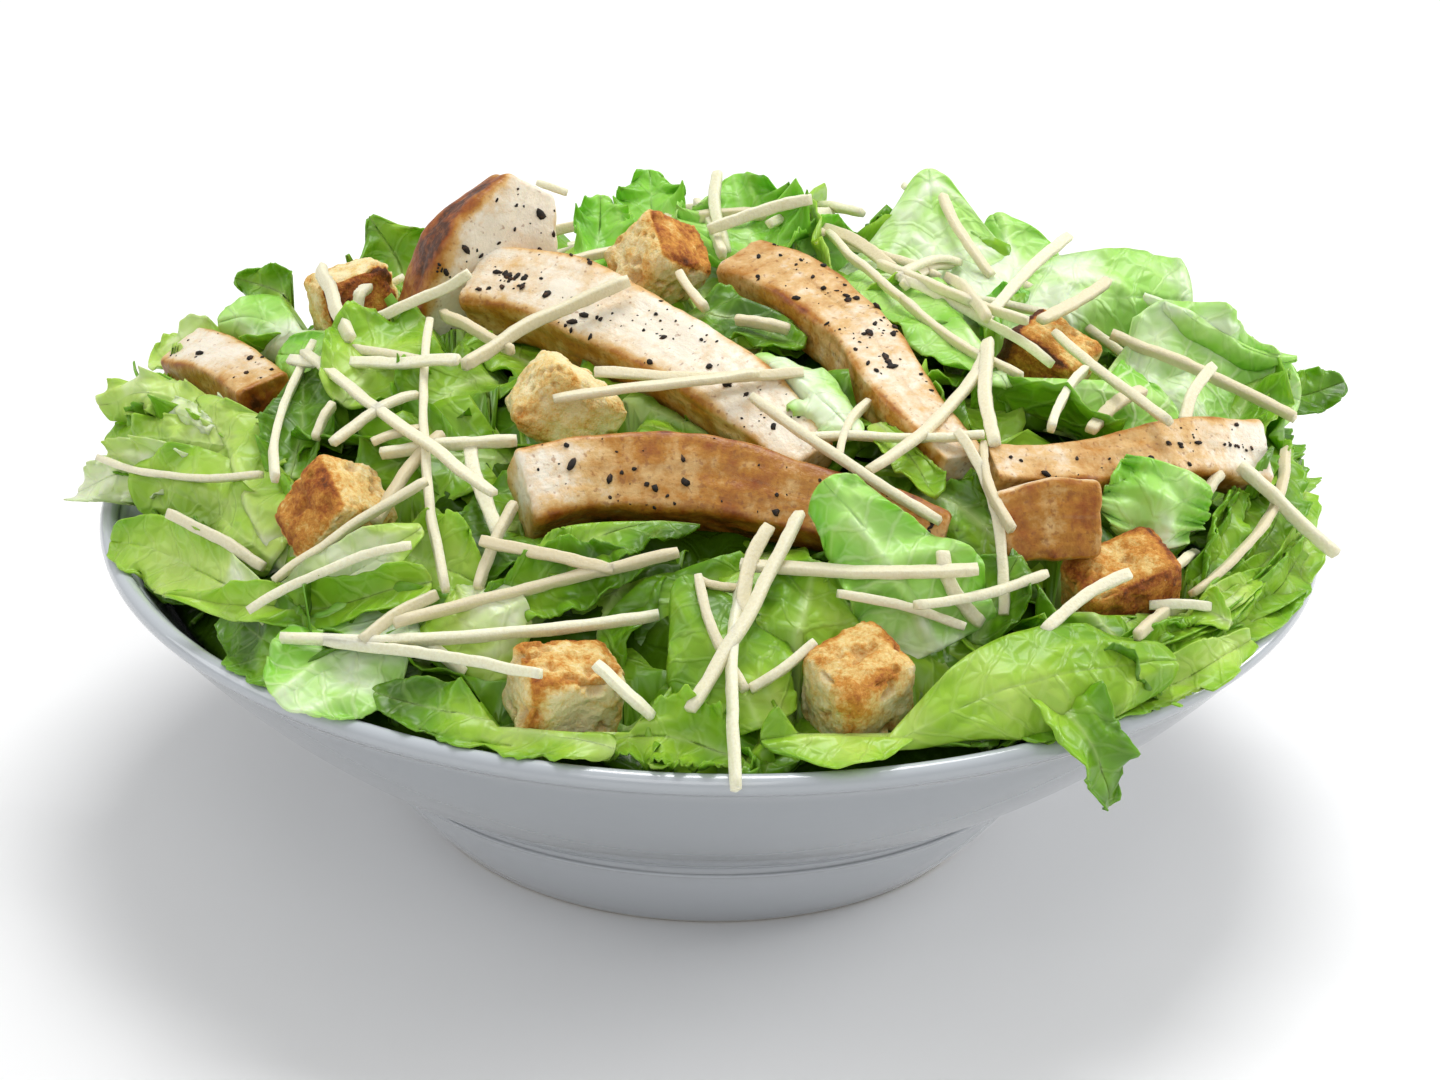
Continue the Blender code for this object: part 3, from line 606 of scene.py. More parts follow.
# toast: ways the browned faces look, and how browned; base: browning of the rest
croutons = {
    "crouton_1": dict(centre=(-76, 33, 96), edges=(17, 15, 15), turn=(-12, -12, 24), base=0.16,
                      toast=[((0.45, -0.85, 0.2), 0.62)], edge=0.24, seed=3),
    "crouton_2": dict(centre=(-12, 22, 110), edges=(16, 16, 17), turn=(28, 30, 30), base=0.16,
                      toast=[((0.75, -0.3, 0.55), 0.42)], seed=7),
    "crouton_3": dict(centre=(-29, -31, 99.5), edges=(20, 15, 16), turn=(-8, 38, 8), base=0.14,
                      toast=[((0.0, -1.0, 0.2), 0.04)], edge=0.16, seed=12),
    "crouton_4": dict(centre=(-72, -55, 86), edges=(17, 17, 18), turn=(24, 26, 38), base=0.26,
                      toast=[((-0.6, -0.4, 0.6), 0.34), ((0.7, -0.6, 0.0), 0.1)], seed=18),
    "crouton_5": dict(centre=(69, 11, 96), edges=(17, 14, 12), turn=(8, 24, -32), base=0.36,
                      toast=[((-0.75, -0.2, 0.6), 0.9)], edge=0.2, seed=22),
    "crouton_6": dict(centre=(79, -63, 79), edges=(21, 15, 13), turn=(16, -12, 24), base=0.42,
                      toast=[((0.8, -0.5, 0.2), 0.2), ((0.0, -0.6, -0.8), 0.12)], edge=0.26, seed=29),
    "crouton_7": dict(centre=(-26, -101, 72), edges=(20, 16, 15), turn=(10, 8, 22), base=0.12,
                      toast=[((-0.2, 0.1, 1.0), 0.22)], edge=0.34, seed=34),
    "crouton_8": dict(centre=(28, -99, 73), edges=(18, 17, 18), turn=(14, -10, 34), base=0.12,
                      toast=[((0.2, 0.2, 1.0), 0.2), ((0.9, -0.2, 0.1), 0.16)], edge=0.32, seed=39),
}
breadFinish = {"crumb": "#efe0ae", "pale": "#e6c67c", "gold": "#cf8f34", "brown": "#9d520f", "dark": "#532707"}


def toastedBread():
    # white bread cut in cubes, tossed in oil and baked: open pale crumb, gold to dark brown where it fried,
    # crumbs and pores of about 1 mm, matt with a trace of oil
    material, tree, shader = startMaterial("toastedBread", Roughness=0.72, IOR=1.45, Subsurface_Weight=0.12,
                                           Subsurface_Scale=0.0012)
    tones = addNode(tree, "ShaderNodeAttribute", attribute_name="tones")
    part = addNode(tree, "ShaderNodeSeparateColor", {"Color": tones.outputs["Color"]})
    place = addNode(tree, "ShaderNodeTexCoord").outputs["Object"]
    broad = addNode(tree, "ShaderNodeTexNoise", {"Vector": place, "Scale": 240.0, "Detail": 5.0, "Roughness": 0.7})
    fine = addNode(tree, "ShaderNodeTexNoise", {"Vector": place, "Scale": 1100.0, "Detail": 3.0, "Roughness": 0.7})
    wander = addNode(tree, "ShaderNodeMapRange", {"Value": broad.outputs["Fac"], "From Min": 0.3, "From Max": 0.7,
                                                  "To Min": -0.24, "To Max": 0.24}, clamp=False)
    speck = addNode(tree, "ShaderNodeMapRange", {"Value": fine.outputs["Fac"], "From Min": 0.3, "From Max": 0.7,
                                                 "To Min": -0.13, "To Max": 0.13}, clamp=False)
    both = addNode(tree, "ShaderNodeMath", {0: wander.outputs["Result"], 1: speck.outputs["Result"]}, operation="ADD")
    level = addNode(tree, "ShaderNodeMath", {0: both.outputs[0], 1: part.outputs["Red"]}, operation="ADD")
    color = addNode(tree, "ShaderNodeValToRGB", {"Fac": level.outputs[0]},
                    stops=[(0.05, breadFinish["crumb"]), (0.28, breadFinish["pale"]), (0.5, breadFinish["gold"]),
                           (0.78, breadFinish["brown"]), (1.0, breadFinish["dark"])])
    # pores hold shade
    pore = addNode(tree, "ShaderNodeMapRange", {"Value": part.outputs["Green"], "To Min": 0.0, "To Max": 0.45})
    shaded = mixColors(tree, pore.outputs["Result"], color.outputs["Color"], srgb("#a8703a"))
    tree.links.new(shaded, shader.inputs["Base Color"])
    bump = addNode(tree, "ShaderNodeBump", {"Height": fine.outputs["Fac"], "Strength": 0.8, "Distance": 0.0007})
    tree.links.new(bump.outputs["Normal"], shader.inputs["Normal"])
    return material


def cubeGrid(count):
    # six square grids of a cube of half edge 1, each row by row, its faces looking out
    line = np.linspace(-1.0, 1.0, count)
    first, second = np.meshgrid(line, line, indexing="ij")
    flat = np.ones_like(first)
    sides = [(flat, first, second), (-flat, second, first), (second, flat, first), (first, -flat, second),
             (first, second, flat), (second, first, -flat)]
    points = np.vstack([np.stack(side, -1).reshape(-1, 3) for side in sides])
    faces = np.vstack([gridFaces(count, count, False) + index * count * count for index in range(6)])
    return points, faces


def makeCrouton(name, crouton, material):
    # a cube drawn in by |x|^p + |y|^p + |z|^p = 1, then pushed about by lumps of 7 mm, crumbs of 1.6 mm and
    # pores where fine noise falls below a threshold
    points, faces = cubeGrid(40)
    seams = np.round(points * 1000.0).astype(np.int64)
    points, index = np.unique(seams, axis=0, return_inverse=True)
    points = points / 1000.0
    faces = index.reshape(-1)[faces]
    power = 8.0
    points = points / (np.sum(np.abs(points) ** power, axis=1) ** (1.0 / power))[:, None]
    ordered = np.sort(np.abs(points), axis=1)
    edge = easeBetween(0.5, 0.98, ordered[:, 1] / ordered[:, 2])
    out = unit(points * np.abs(points) ** (power - 2.0))
    half = np.array(crouton["edges"], float) / 2.0
    skew = 1.0 + 0.08 * points[:, 0] * points[:, 1]
    shape = points * half
    shape[:, 1] *= skew
    seed = crouton["seed"]
    broad = roughLumps(shape, 7.0, 2, seed)
    crumb = roughLumps(shape, 2.0, 3, seed + 4)
    pore = easeBetween(0.18, 0.5, -lumps(shape, 1.7, seed + 9)) * easeBetween(-0.3, 0.4, lumps(shape, 5.0, seed + 6))
    shape = shape + out * (0.8 * broad + 0.6 * crumb - 1.1 * pore - 0.55 * edge * (1.0 + broad))[:, None]
    turn = np.array(Euler([math.radians(angle) for angle in crouton["turn"]]).to_matrix())
    placed = shape @ turn.T + np.array(crouton["centre"], float)
    outside = out @ turn.T
    toast = np.full(len(points), crouton["base"])
    for way, amount in crouton["toast"]:
        toast += amount * easeBetween(0.35, 0.85, outside @ unit(np.array(way, float)))
    toast += crouton.get("edge", 0.16) * edge * easeBetween(-0.6, 0.3, broad) + 0.12 * broad
    tones = np.stack([toast, pore, edge], -1)
    makePiece("toasted_" + name, placed, [faces], material, "toasted_bread", [name],
              np.zeros((len(points), 2)), tones)


# ---- shredded cheese

# two ends of each shred, then how far its middle is bent aside and lifted
shreds = [
    ((-124, -8, 76), (-88, -31, 83), 1.0, -2.0), ((-106, -32, 74), (-86, -48, 71), -0.6, 0.5),
    ((-82, 15, 92), (-84, -52, 92), 2.0, -1.0), ((-83, 8, 93), (-41, -64, 95), 1.0, 1.0),
    ((-47, -46, 97), (-40, -70, 90), 0.5, 0.5), ((-58, -26, 99), (-74, -37, 93), 0.5, 0.8),
    ((-56, -40, 98), (-66, -42, 96), 0.3, 0.4), ((-75, -20, 94), (-78, -30, 91), 0.2, 0.3),
    ((-78, 8, 95), (-52, -18, 103), -1.5, -1.5), ((-86, 8, 91), (-50, -21, 104), -1.0, -1.0),
    ((-82, 30, 104), (-73, 3, 98), 0.5, 1.0), ((-72, 22, 103), (-73, 19, 95), 0.2, 0.0),
    ((-50, 8, 112), (-70, 12, 98), 0.8, -1.0), ((-57, -2, 105), (-49, -79, 82), 2.0, 1.5),
    ((-53, -43, 98), (-64, -58, 86), 0.6, 0.6), ((-54, -53, 92), (-82, -66, 76), 0.8, 0.5),
    ((-64, -45, 95), (-38, -47, 99), 0.5, 0.6), ((-17, -6, 117), (-49, -26, 106), 2.5, -0.5),
    ((-55, 2, 106), (-40, -20, 107), 0.6, 0.6), ((-23, -38, 110), (18, -29, 107), -1.0, -1.6),
    ((-31, -42, 106), (9, -34, 109), 1.0, 0.8), ((-7, 10, 112), (-2, -2, 110), 0.5, 0.5),
    ((4, -6, 109), (15, -8, 108), 0.3, 0.3), ((0, 58, 118), (2, 40, 106), 1.0, 0.0),
    ((20, 52, 113), (-2, 42, 110), 0.4, 0.5), ((24, 50, 107), (41, 6, 107), 1.0, 0.8),
    ((34, 38, 104), (63, 3, 106), 1.2, 0.6), ((38, 24, 107), (68, -6, 101), -1.0, 0.4),
    ((38, 10, 108), (61, -18, 103), 1.2, -0.5), ((48, 55, 114), (58, 40, 102), 1.2, 0.6),
    ((74, 40, 112), (55, 8, 104), 0.8, 0.5), ((82, 30, 106), (66, 5, 106), -0.8, 0.2),
    ((69, 0, 105), (89, -37, 102), 0.6, 0.6), ((82, 26, 94), (119, 4, 86), -1.2, 0.0),
    ((101, 10, 94), (94, -6, 88), 0.5, 0.6), ((86, -2, 93), (74, -24, 93), 0.8, 0.6),
    ((74, -4, 98), (66, -30, 96), 0.6, 0.8), ((55, -8, 107), (54, -52, 103), 1.0, 1.0),
    ((54, -12, 106), (30, -62, 101), -3.0, 1.0), ((30, -36, 104), (24, -56, 101), 0.8, 0.6),
    ((18, -48, 102), (52, -48, 103), -1.2, -1.6), ((8, -42, 107), (43, -74, 96), 1.4, 1.0),
    ((47, -49, 104), (55, -80, 80), -2.2, 2.0), ((52, -50, 102), (57, -72, 94), 1.4, 1.0),
    ((6, -80, 89), (50, -76, 87), 1.2, -0.6), ((24, -84, 85), (48, -84, 79), -0.8, 0.4),
    ((38, -82, 82), (63, -71, 84), 0.6, -0.8), ((43, -71, 88), (51, -82, 79), 1.6, 1.0),
    ((79, -74, 86), (62, -80, 76), 0.8, 0.8), ((95, -42, 76), (86, -56, 76), 0.4, 0.4),
    ((116, -4, 82), (93, -56, 74), -3.5, 0.6), ((104, -30, 90), (124, -34, 73), 0.4, 0.8),
    ((100, -22, 84), (93, -36, 78), 0.4, 0.4), ((84, -66, 76), (96, -60, 73), 0.6, 0.4),
    ((93, -59, 73), (80, -74, 73), 0.4, 0.5), ((-56, -69, 86), (-86, -76, 75), 0.8, 1.2),
    ((-79, -91, 77), (-9, -89, 83), 2.4, -1.0), ((-58, -88, 79), (-6, -78, 90), -2.4, -1.2),
    ((-43, -74, 90), (-18, -79, 87), 0.6, 0.4), ((-71, -92, 77), (-30, -112, 81), -3.0, -1.6),
    ((-51, -79, 81), (-64, -91, 77), 0.5, 0.3), ((-53, -91, 77), (-45, -92, 71), 0.4, 0.4),
    ((-20, -109, 82), (-10, -109, 71), 0.4, 0.6), ((-2, -84, 88), (7, -103, 74), 1.0, 0.6),
    ((11, -74, 94), (6, -91, 82), 0.8, 0.8), ((6, -84, 87), (6, -127, 66), 1.0, 4.5),
    ((17, -71, 96), (-3, -108, 72), -0.8, 1.0), ((-2, -83, 87), (6, -84, 86), 1.6, 0.6),
    ((8, -101, 73), (20, -98, 82), 0.6, 0.2), ((-37, -66, 94), (-43, -82, 84), 0.4, 0.6),
    ((-37, 22, 127), (-31, 20, 126), 0.3, 0.2),
]
cheese = {"breadth": 2.5, "depth": 1.7, "stations": 22, "sides": 10, "farCount": 34, "seed": 17,
          "farLength": (16.0, 44.0), "strewnFrom": (0.0, -0.89, 0.46), "gap": 0.9, "highest": 13.0}


def shreddedCheese():
    # hard cow's-milk cheese rubbed through a coarse grater: cream, slightly translucent, satin with a
    # granular break of about half a millimetre
    material, tree, shader = startMaterial("shreddedHardCheese", Roughness=0.5, IOR=1.45, Subsurface_Weight=0.3,
                                           Subsurface_Scale=0.0015)
    shader.inputs["Subsurface Radius"].default_value = (1.0, 0.9, 0.6)
    tones = addNode(tree, "ShaderNodeAttribute", attribute_name="tones")
    part = addNode(tree, "ShaderNodeSeparateColor", {"Color": tones.outputs["Color"]})
    place = addNode(tree, "ShaderNodeTexCoord").outputs["Object"]
    grain = addNode(tree, "ShaderNodeTexNoise", {"Vector": place, "Scale": 1500.0, "Detail": 3.0, "Roughness": 0.6})
    body = addNode(tree, "ShaderNodeValToRGB", {"Fac": part.outputs["Red"]},
                   stops=[(0.0, "#ded2b0"), (0.4, "#e9e3c6"), (1.0, "#f6f5da")])
    fleck = addNode(tree, "ShaderNodeMapRange", {"Value": grain.outputs["Fac"], "From Min": 0.35, "From Max": 0.65,
                                                 "To Min": 0.26, "To Max": 0.0})
    color = mixColors(tree, fleck.outputs["Result"], body.outputs["Color"], srgb("#cdbd8c"))
    tree.links.new(color, shader.inputs["Base Color"])
    bump = addNode(tree, "ShaderNodeBump", {"Height": grain.outputs["Fac"], "Strength": 0.4, "Distance": 0.0005})
    tree.links.new(bump.outputs["Normal"], shader.inputs["Normal"])
    return material


def makeLayer(pieces):
    # pushes points out, towards where the toppings were strewn from, until they lie on the pieces below
    graph = bpy.context.evaluated_depsgraph_get()
    trees = [BVHTree.FromObject(piece, graph) for piece in pieces]
    strewn = Vector(cheese["strewnFrom"]).normalized()
    reach = 0.05

    def onTop(path):
        rise = np.zeros(len(path))
        for index, point in enumerate(path):
            start = Vector(point * mm) + strewn * reach
            for tree in trees:
                found = tree.ray_cast(start, -strewn, reach)
                if found[0] is not None:
                    rise[index] = max(rise[index], (reach - found[3]) / mm + cheese["gap"])
        # a stiff shred bridges: the straight line of rises that clears most of them
        t = np.linspace(-1.0, 1.0, len(path))
        slope, base = np.polyfit(t, rise, 1)
        line = base + slope * t
        line = line + 0.85 * np.max(rise - line)
        line = np.clip(line, 0.0, cheese["highest"])
        return path + line[:, None] * np.array(strewn)[None]
    return onTop


def shredForm(start, end, bend, lift, rng, onTop=None):
    # a rounded oblong carried along start + t (end - start) plus 4 t (1 - t) of bend and lift, thinner to its ends
    start, end = np.asarray(start, float), np.asarray(end, float)
    count, sides = cheese["stations"], cheese["sides"]
    t = np.linspace(0.0, 1.0, count)[:, None]
    run = unit(end - start)
    aside = unit(np.cross(run, (0.0, 0.0, 1.0)))
    bow = 4.0 * t * (1.0 - t)
    path = start + (end - start) * t + bow * (aside * 1.4 * bend + np.array([0.0, 0.0, lift]))
    path += 0.45 * np.stack([lumps(path, 9.0, 3), lumps(path, 9.0, 4), lumps(path, 9.0, 5)], -1)
    if onTop:
        path = onTop(path)
    along = unit(np.gradient(path, axis=0))
    lean = rng.uniform(0.0, math.pi)
    normal = unit(np.cross(along, aside * math.cos(lean) + np.cross(run, aside) * math.sin(lean)))
    side = np.cross(along, normal)
    turn = np.linspace(0.0, 2.0 * math.pi, sides, endpoint=False) + math.pi / sides
    across = np.sign(np.sin(turn)) * np.abs(np.sin(turn)) ** 0.36
    upward = np.sign(np.cos(turn)) * np.abs(np.cos(turn)) ** 0.36
    size = rng.uniform(0.84, 1.12) * (1.0 - 0.12 * np.abs(2.0 * t - 1.0) ** 20)
    breadth = cheese["breadth"] / 2.0 * size
    depth = cheese["depth"] / 2.0 * size
    rings = (path[:, None] + side[:, None] * (across[None] * breadth)[..., None]
             + normal[:, None] * (upward[None] * depth)[..., None])
    rough = lumps(rings, 1.6, 8)[..., None]
    rings = rings + (rings - path[:, None]) * 0.12 * rough
    points, faces = closedTube(rings)
    tone = np.full((len(points), 3), rng.uniform(0.0, 1.0))
    return points, faces, np.zeros((len(points), 2)), tone


def makeCheese(heapHeight, pieces):
    rng = np.random.default_rng(cheese["seed"])
    onTop = makeLayer(pieces)
    parts = [shredForm(start, end, bend, lift, rng, onTop) for start, end, bend, lift in shreds]
    # the far side, which carries the same cheese
    low, high = cheese["farLength"]
    while len(parts) < len(shreds) + cheese["farCount"]:
        bearing = rng.uniform(math.radians(15.0), math.radians(165.0))
        radius = rng.uniform(45.0, 108.0)
        middle = np.array([radius * math.cos(bearing), radius * math.sin(bearing)])
        way = rng.uniform(0.0, math.pi)
        half = rng.uniform(low, high) / 2.0 * np.array([math.cos(way), math.sin(way)])
        ends = [(*spot, heapHeight(*spot) + 4.5) for spot in (middle - half, middle + half)]
        if max(np.hypot(*(middle - half)), np.hypot(*(middle + half))) < 119.0:
            parts.append(shredForm(ends[0], ends[1], rng.uniform(-2.5, 2.5), rng.uniform(0.5, 2.0), rng))
    points, faces, uv, tones = joinParts(parts)
    makePiece("shredded_cheese", points, faces, shreddedCheese(), "hard_cheese", (), uv, tones)
    print("cheese:", len(parts), "shreds")


# ---- romaine

# Leaves set one by one. path: along the rib, from the cut base to the tip; face: the way the upper side looks
# at the two ends; width: across the widest part; pale: 0 dark outer leaf to 1 white heart leaf; fold and
# curl: degrees the halves stand up at the rib and bend on to the edge; ruffle: height of the edge's waves;
# waves: how many; rib: half width of the rib at the base; base, tip: width there as a share; outside: the
# leaf hangs over the rim; heart: cooler, paler green from the inside of the head
heroLeaves = {
    "front_right_fold": dict(path=[(33, -114, 69), (50, -106, 75), (68, -98, 77), (88, -86, 74)],
                             face=[(0.1, -0.8, 0.6), (0.2, -0.7, 0.7)], width=23, pale=0.36, fold=-4, curl=-26,
                             ruffle=0.9, waves=2, rib=0.4, base=0.12, tip=0.4, widest=0.6, tear=0.04, over=True),
    "hanging_right": dict(path=[(50, -80, 74), (59, -93, 72.4), (66, -102, 71), (71, -107.6, 67), (73.5, -107, 60),
                                (75, -105, 53)],
                          face=[(0.1, -0.3, 0.94), (0.5, -0.85, 0.05)], width=14, pale=0.25, fold=12, curl=20,
                          ruffle=1.6, waves=3.5, rib=1.0, base=0.8, tip=0.3, outside=True, tear=0.2),
    "pale_left_rim": dict(path=[(-58, -80, 78), (-66, -90, 74), (-74, -98, 71), (-79, -102.5, 69)],
                          face=[(-0.1, -0.4, 0.91), (-0.5, -0.75, 0.4)], width=26, pale=0.62, fold=4, curl=-14,
                          ruffle=1.0, waves=2.5, rib=1.2, base=0.6, tip=0.55, outside=True, net=0.4, heart=True),
    "front_left_low": dict(path=[(-16, -117, 68), (-38, -111, 70), (-62, -99, 70)],
                           face=[(-0.1, -0.7, 0.7), (-0.35, -0.6, 0.7)], width=15, pale=0.2, fold=6, curl=25,
                           ruffle=1.6, waves=4, rib=1.2, base=0.4, tip=0.4),
    "front_ruffle": dict(path=[(6, -117, 67), (-6, -114, 70), (-22, -113, 69)],
                         face=[(0.0, -0.6, 0.8), (-0.1, -0.6, 0.8)], width=17, pale=0.3, fold=10, curl=35,
                         ruffle=2.6, waves=4, rib=1.0, base=0.5, tip=0.4),
    "front_concave": dict(path=[(38, -107, 71), (24, -112, 71), (10, -115, 70)],
                          face=[(0.0, -0.75, 0.65), (-0.3, -0.7, 0.65)], width=25, pale=0.4, fold=16, curl=26,
                          ruffle=0.8, waves=1.5, rib=1.2, base=0.5, tip=0.4),
    "front_smooth": dict(path=[(10, -110, 70), (4, -100, 79), (-5, -86, 89)],
                         face=[(0.2, -0.8, 0.55), (0.1, -0.75, 0.65)], width=26, pale=0.2, fold=-6, curl=-26,
                         ruffle=1.0, waves=2, rib=0.6, base=0.7, tip=0.3, over=True, tear=0.05),
    "front_middle": dict(path=[(12, -102, 73), (17, -91, 82), (20, -80, 90)],
                         face=[(0.1, -0.85, 0.5), (0.0, -0.8, 0.6)], width=24, pale=0.3, fold=-8, curl=-10,
                         ruffle=1.2, waves=2.5, rib=1.6, base=0.7, tip=0.5),
    "centre_pale": dict(path=[(43, -90, 77), (38, -86, 86), (29, -80, 96), (21, -76, 105)],
                        face=[(0.2, -0.9, 0.4), (0.1, -0.95, 0.3)], width=31, pale=0.62, fold=-4, curl=-10,
                        ruffle=2.4, waves=3, rib=0.4, base=1.0, tip=0.34, widest=0.08, taper=1.3, crumple=3.2,
                        tear=0.2, over=True, heart=True, net=0.3),
    "dark_fold_left": dict(path=[(50, -84, 76), (55, -78, 84), (60, -72, 92)],
                           face=[(-0.4, -0.8, 0.4), (-0.3, -0.8, 0.5)], width=15, pale=0.0, fold=22, curl=20,
                           ruffle=1.2, waves=2, rib=1.2, base=0.7, tip=0.2),
    "dark_fold_right": dict(path=[(78, -84, 74), (70, -77, 82), (63, -71, 92)],
                            face=[(0.3, -0.85, 0.4), (0.3, -0.8, 0.5)], width=18, pale=0.12, fold=-20, curl=-30,
                            ruffle=1.0, waves=2, rib=1.3, base=0.7, tip=0.2),
    "pale_by_strip": dict(path=[(84, -54, 83), (85.5, -52, 90), (88, -48, 98)],
                          face=[(0.2, -0.9, 0.35), (0.0, -0.9, 0.4)], width=21, pale=0.52, fold=-8, curl=-20,
                          ruffle=2.2, waves=3.5, rib=0.4, base=0.7, tip=0.9, over=True, crumple=2.8, tear=0.24,
                          heart=True),
    "right_blade_1": dict(path=[(112, -36, 74), (96, -62, 73), (74, -84, 73)],
                          face=[(0.3, -0.6, 0.75), (0.1, -0.7, 0.7)], width=11, pale=0.35, fold=26, curl=20,
                          ruffle=0.8, waves=3, rib=0.8, base=0.3, tip=0.3, tear=0.05),
    "right_blade_2": dict(path=[(106, -50, 73), (88, -74, 72), (64, -94, 72)],
                          face=[(0.3, -0.6, 0.75), (0.2, -0.7, 0.7)], width=11, pale=0.22, fold=24, curl=30,
                          ruffle=1.0, waves=3, rib=0.8, base=0.3, tip=0.3, tear=0.05),
    "right_blade_3": dict(path=[(117, -4, 84), (113, -26, 77), (102, -48, 73)],
                          face=[(0.6, -0.5, 0.6), (0.5, -0.6, 0.7)], width=12, pale=0.3, fold=26, curl=30,
                          ruffle=1.4, waves=4, rib=0.8, base=0.4, tip=0.4, tear=0.08),
    "right_blade_4": dict(path=[(104, -30, 86), (99, -44, 80), (94, -58, 74)],
                          face=[(0.5, -0.7, 0.5), (0.5, -0.7, 0.5)], width=12, pale=0.1, fold=24, curl=30,
                          ruffle=1.0, waves=3, rib=0.6, base=0.4, tip=0.3, tear=0.05),
    "right_rim_1": dict(path=[(108, 30, 78), (117, 14, 75), (121, -2, 72)],
                        face=[(0.8, 0.1, 0.5), (0.85, 0.0, 0.5)], width=17, pale=0.3, fold=10, curl=20,
                        ruffle=1.8, waves=3.5, rib=1.0, base=0.5, tip=0.4),
    "right_rim_2": dict(path=[(102, 60, 76), (112, 46, 75), (120, 30, 71)],
                        face=[(0.8, 0.3, 0.5), (0.85, 0.2, 0.5)], width=18, pale=0.42, fold=-8, curl=-20,
                        ruffle=1.8, waves=3.0, rib=1.0, base=0.5, tip=0.4),
    "right_rim_3": dict(path=[(112, -2, 80), (116, 16, 77), (116, 34, 73)],
                        face=[(0.7, 0.1, 0.7), (0.8, 0.2, 0.6)], width=16, pale=0.2, fold=12, curl=20,
                        ruffle=1.6, waves=3.5, rib=1.0, base=0.5, tip=0.3),
    "right_wall_1": dict(path=[(121, -8, 75), (114, -36, 70), (98, -62, 69)],
                         face=[(0.5, -0.6, 0.6), (0.3, -0.7, 0.65)], width=13, pale=0.3, fold=24, curl=30,
                         ruffle=1.0, waves=3, rib=0.6, base=0.4, tip=0.3, tear=0.05),
    "right_wall_2": dict(path=[(119, -24, 71), (108, -50, 69), (88, -78, 69)],
                         face=[(0.5, -0.6, 0.6), (0.3, -0.7, 0.65)], width=13, pale=0.2, fold=24, curl=30,
                         ruffle=1.0, waves=3, rib=0.6, base=0.4, tip=0.3, tear=0.05),
    "right_blade_5": dict(path=[(110, -16, 86), (104, -34, 80), (96, -50, 75)],
                          face=[(0.5, -0.7, 0.6), (0.4, -0.7, 0.6)], width=12, pale=0.15, fold=30, curl=30,
                          ruffle=1.4, waves=4, rib=0.8, base=0.4, tip=0.3, tear=0.05),
    "right_blade_6": dict(path=[(110, -44, 74), (92, -68, 74), (70, -88, 73)],
                          face=[(0.2, -0.8, 0.6), (0.1, -0.8, 0.6)], width=9, pale=0.45, fold=30, curl=25,
                          ruffle=0.8, waves=3, rib=0.6, base=0.3, tip=0.2, tear=0.04),
    "right_blade_7": dict(path=[(104, -24, 83), (100, -44, 78), (88, -62, 75)],
                          face=[(0.4, -0.8, 0.5), (0.3, -0.8, 0.5)], width=10, pale=0.28, fold=30, curl=20,
                          ruffle=1.0, waves=3, rib=0.6, base=0.3, tip=0.2, tear=0.04),
    "right_inner": dict(path=[(100, -66, 72), (88, -66, 76), (74, -78, 73)],
                        face=[(0.2, -0.7, 0.7), (0.1, -0.7, 0.7)], width=15, pale=0.3, fold=20, curl=25,
                        ruffle=1.4, waves=3, rib=1.2, base=0.4, tip=0.3),
    "left_low": dict(path=[(-82, -68, 71), (-98, -53, 72), (-110, -40, 71), (-118, -33, 69)],
                     face=[(-0.3, -0.75, 0.55), (-0.3, -0.8, 0.5)], width=16, pale=0.5, fold=8, curl=24,
                     ruffle=1.0, waves=2, rib=0.5, base=0.35, tip=0.4, tear=0.05, over=True),
    "left_smooth": dict(path=[(-84, -53, 75), (-96, -40, 78), (-106, -28, 78), (-114, -18, 76)],
                        face=[(-0.3, -0.85, 0.45), (-0.4, -0.8, 0.45)], width=21, pale=0.42, fold=-8, curl=-22,
                        ruffle=2.4, waves=2, rib=0.5, base=0.5, tip=0.6, tear=0.14, over=True, crumple=2.6),
    "left_dark": dict(path=[(-112, -26, 69), (-104, -40, 68), (-92, -56, 67)],
                      face=[(-0.6, -0.5, 0.6), (-0.4, -0.6, 0.7)], width=18, pale=0.0, fold=8, curl=20,
                      ruffle=1.2, waves=3, rib=0.5, base=0.5, tip=0.4),
    "left_pale_blade": dict(path=[(-84, -78, 73), (-69, -76, 82), (-54, -72, 91)],
                            face=[(-0.5, -0.8, 0.4), (-0.6, -0.7, 0.5)], width=14, pale=0.85, fold=14, curl=16,
                            ruffle=0.9, waves=2, rib=0.8, base=0.5, tip=0.35, over=True, tear=0.05),
    "left_pointed": dict(path=[(-52, -80, 84), (-76, -80, 78), (-104, -68, 74)],
                         face=[(-0.2, -0.7, 0.7), (-0.3, -0.6, 0.75)], width=12, pale=0.38, fold=26, curl=20,
                         ruffle=1.2, waves=3, rib=0.6, base=0.7, tip=0.04, over=True, tear=0.05),
    "left_under": dict(path=[(-70, -94, 70), (-82, -82, 71), (-92, -68, 71)],
                       face=[(-0.3, -0.7, 0.7), (-0.4, -0.6, 0.7)], width=18, pale=0.08, fold=6, curl=18,
                       ruffle=1.2, waves=3, rib=0.6, base=0.5, tip=0.4),
    "bunch_big": dict(path=[(-82, -56, 72), (-89, -40, 80), (-97, -22, 86), (-104, -7, 89)],
                      face=[(-0.3, -0.85, 0.45), (-0.4, -0.8, 0.45)], width=20, pale=0.64, fold=-14, curl=-30,
                      ruffle=2.8, waves=4.5, rib=1.2, base=0.6, tip=0.4, tear=0.16, crumple=3.4, over=True),
    "bunch_fold": dict(path=[(-84, -44, 78), (-89, -28, 84), (-96, -12, 88)],
                       face=[(-0.3, -0.85, 0.45), (-0.2, -0.85, 0.45)], width=9, pale=0.8, fold=-24, curl=-30,
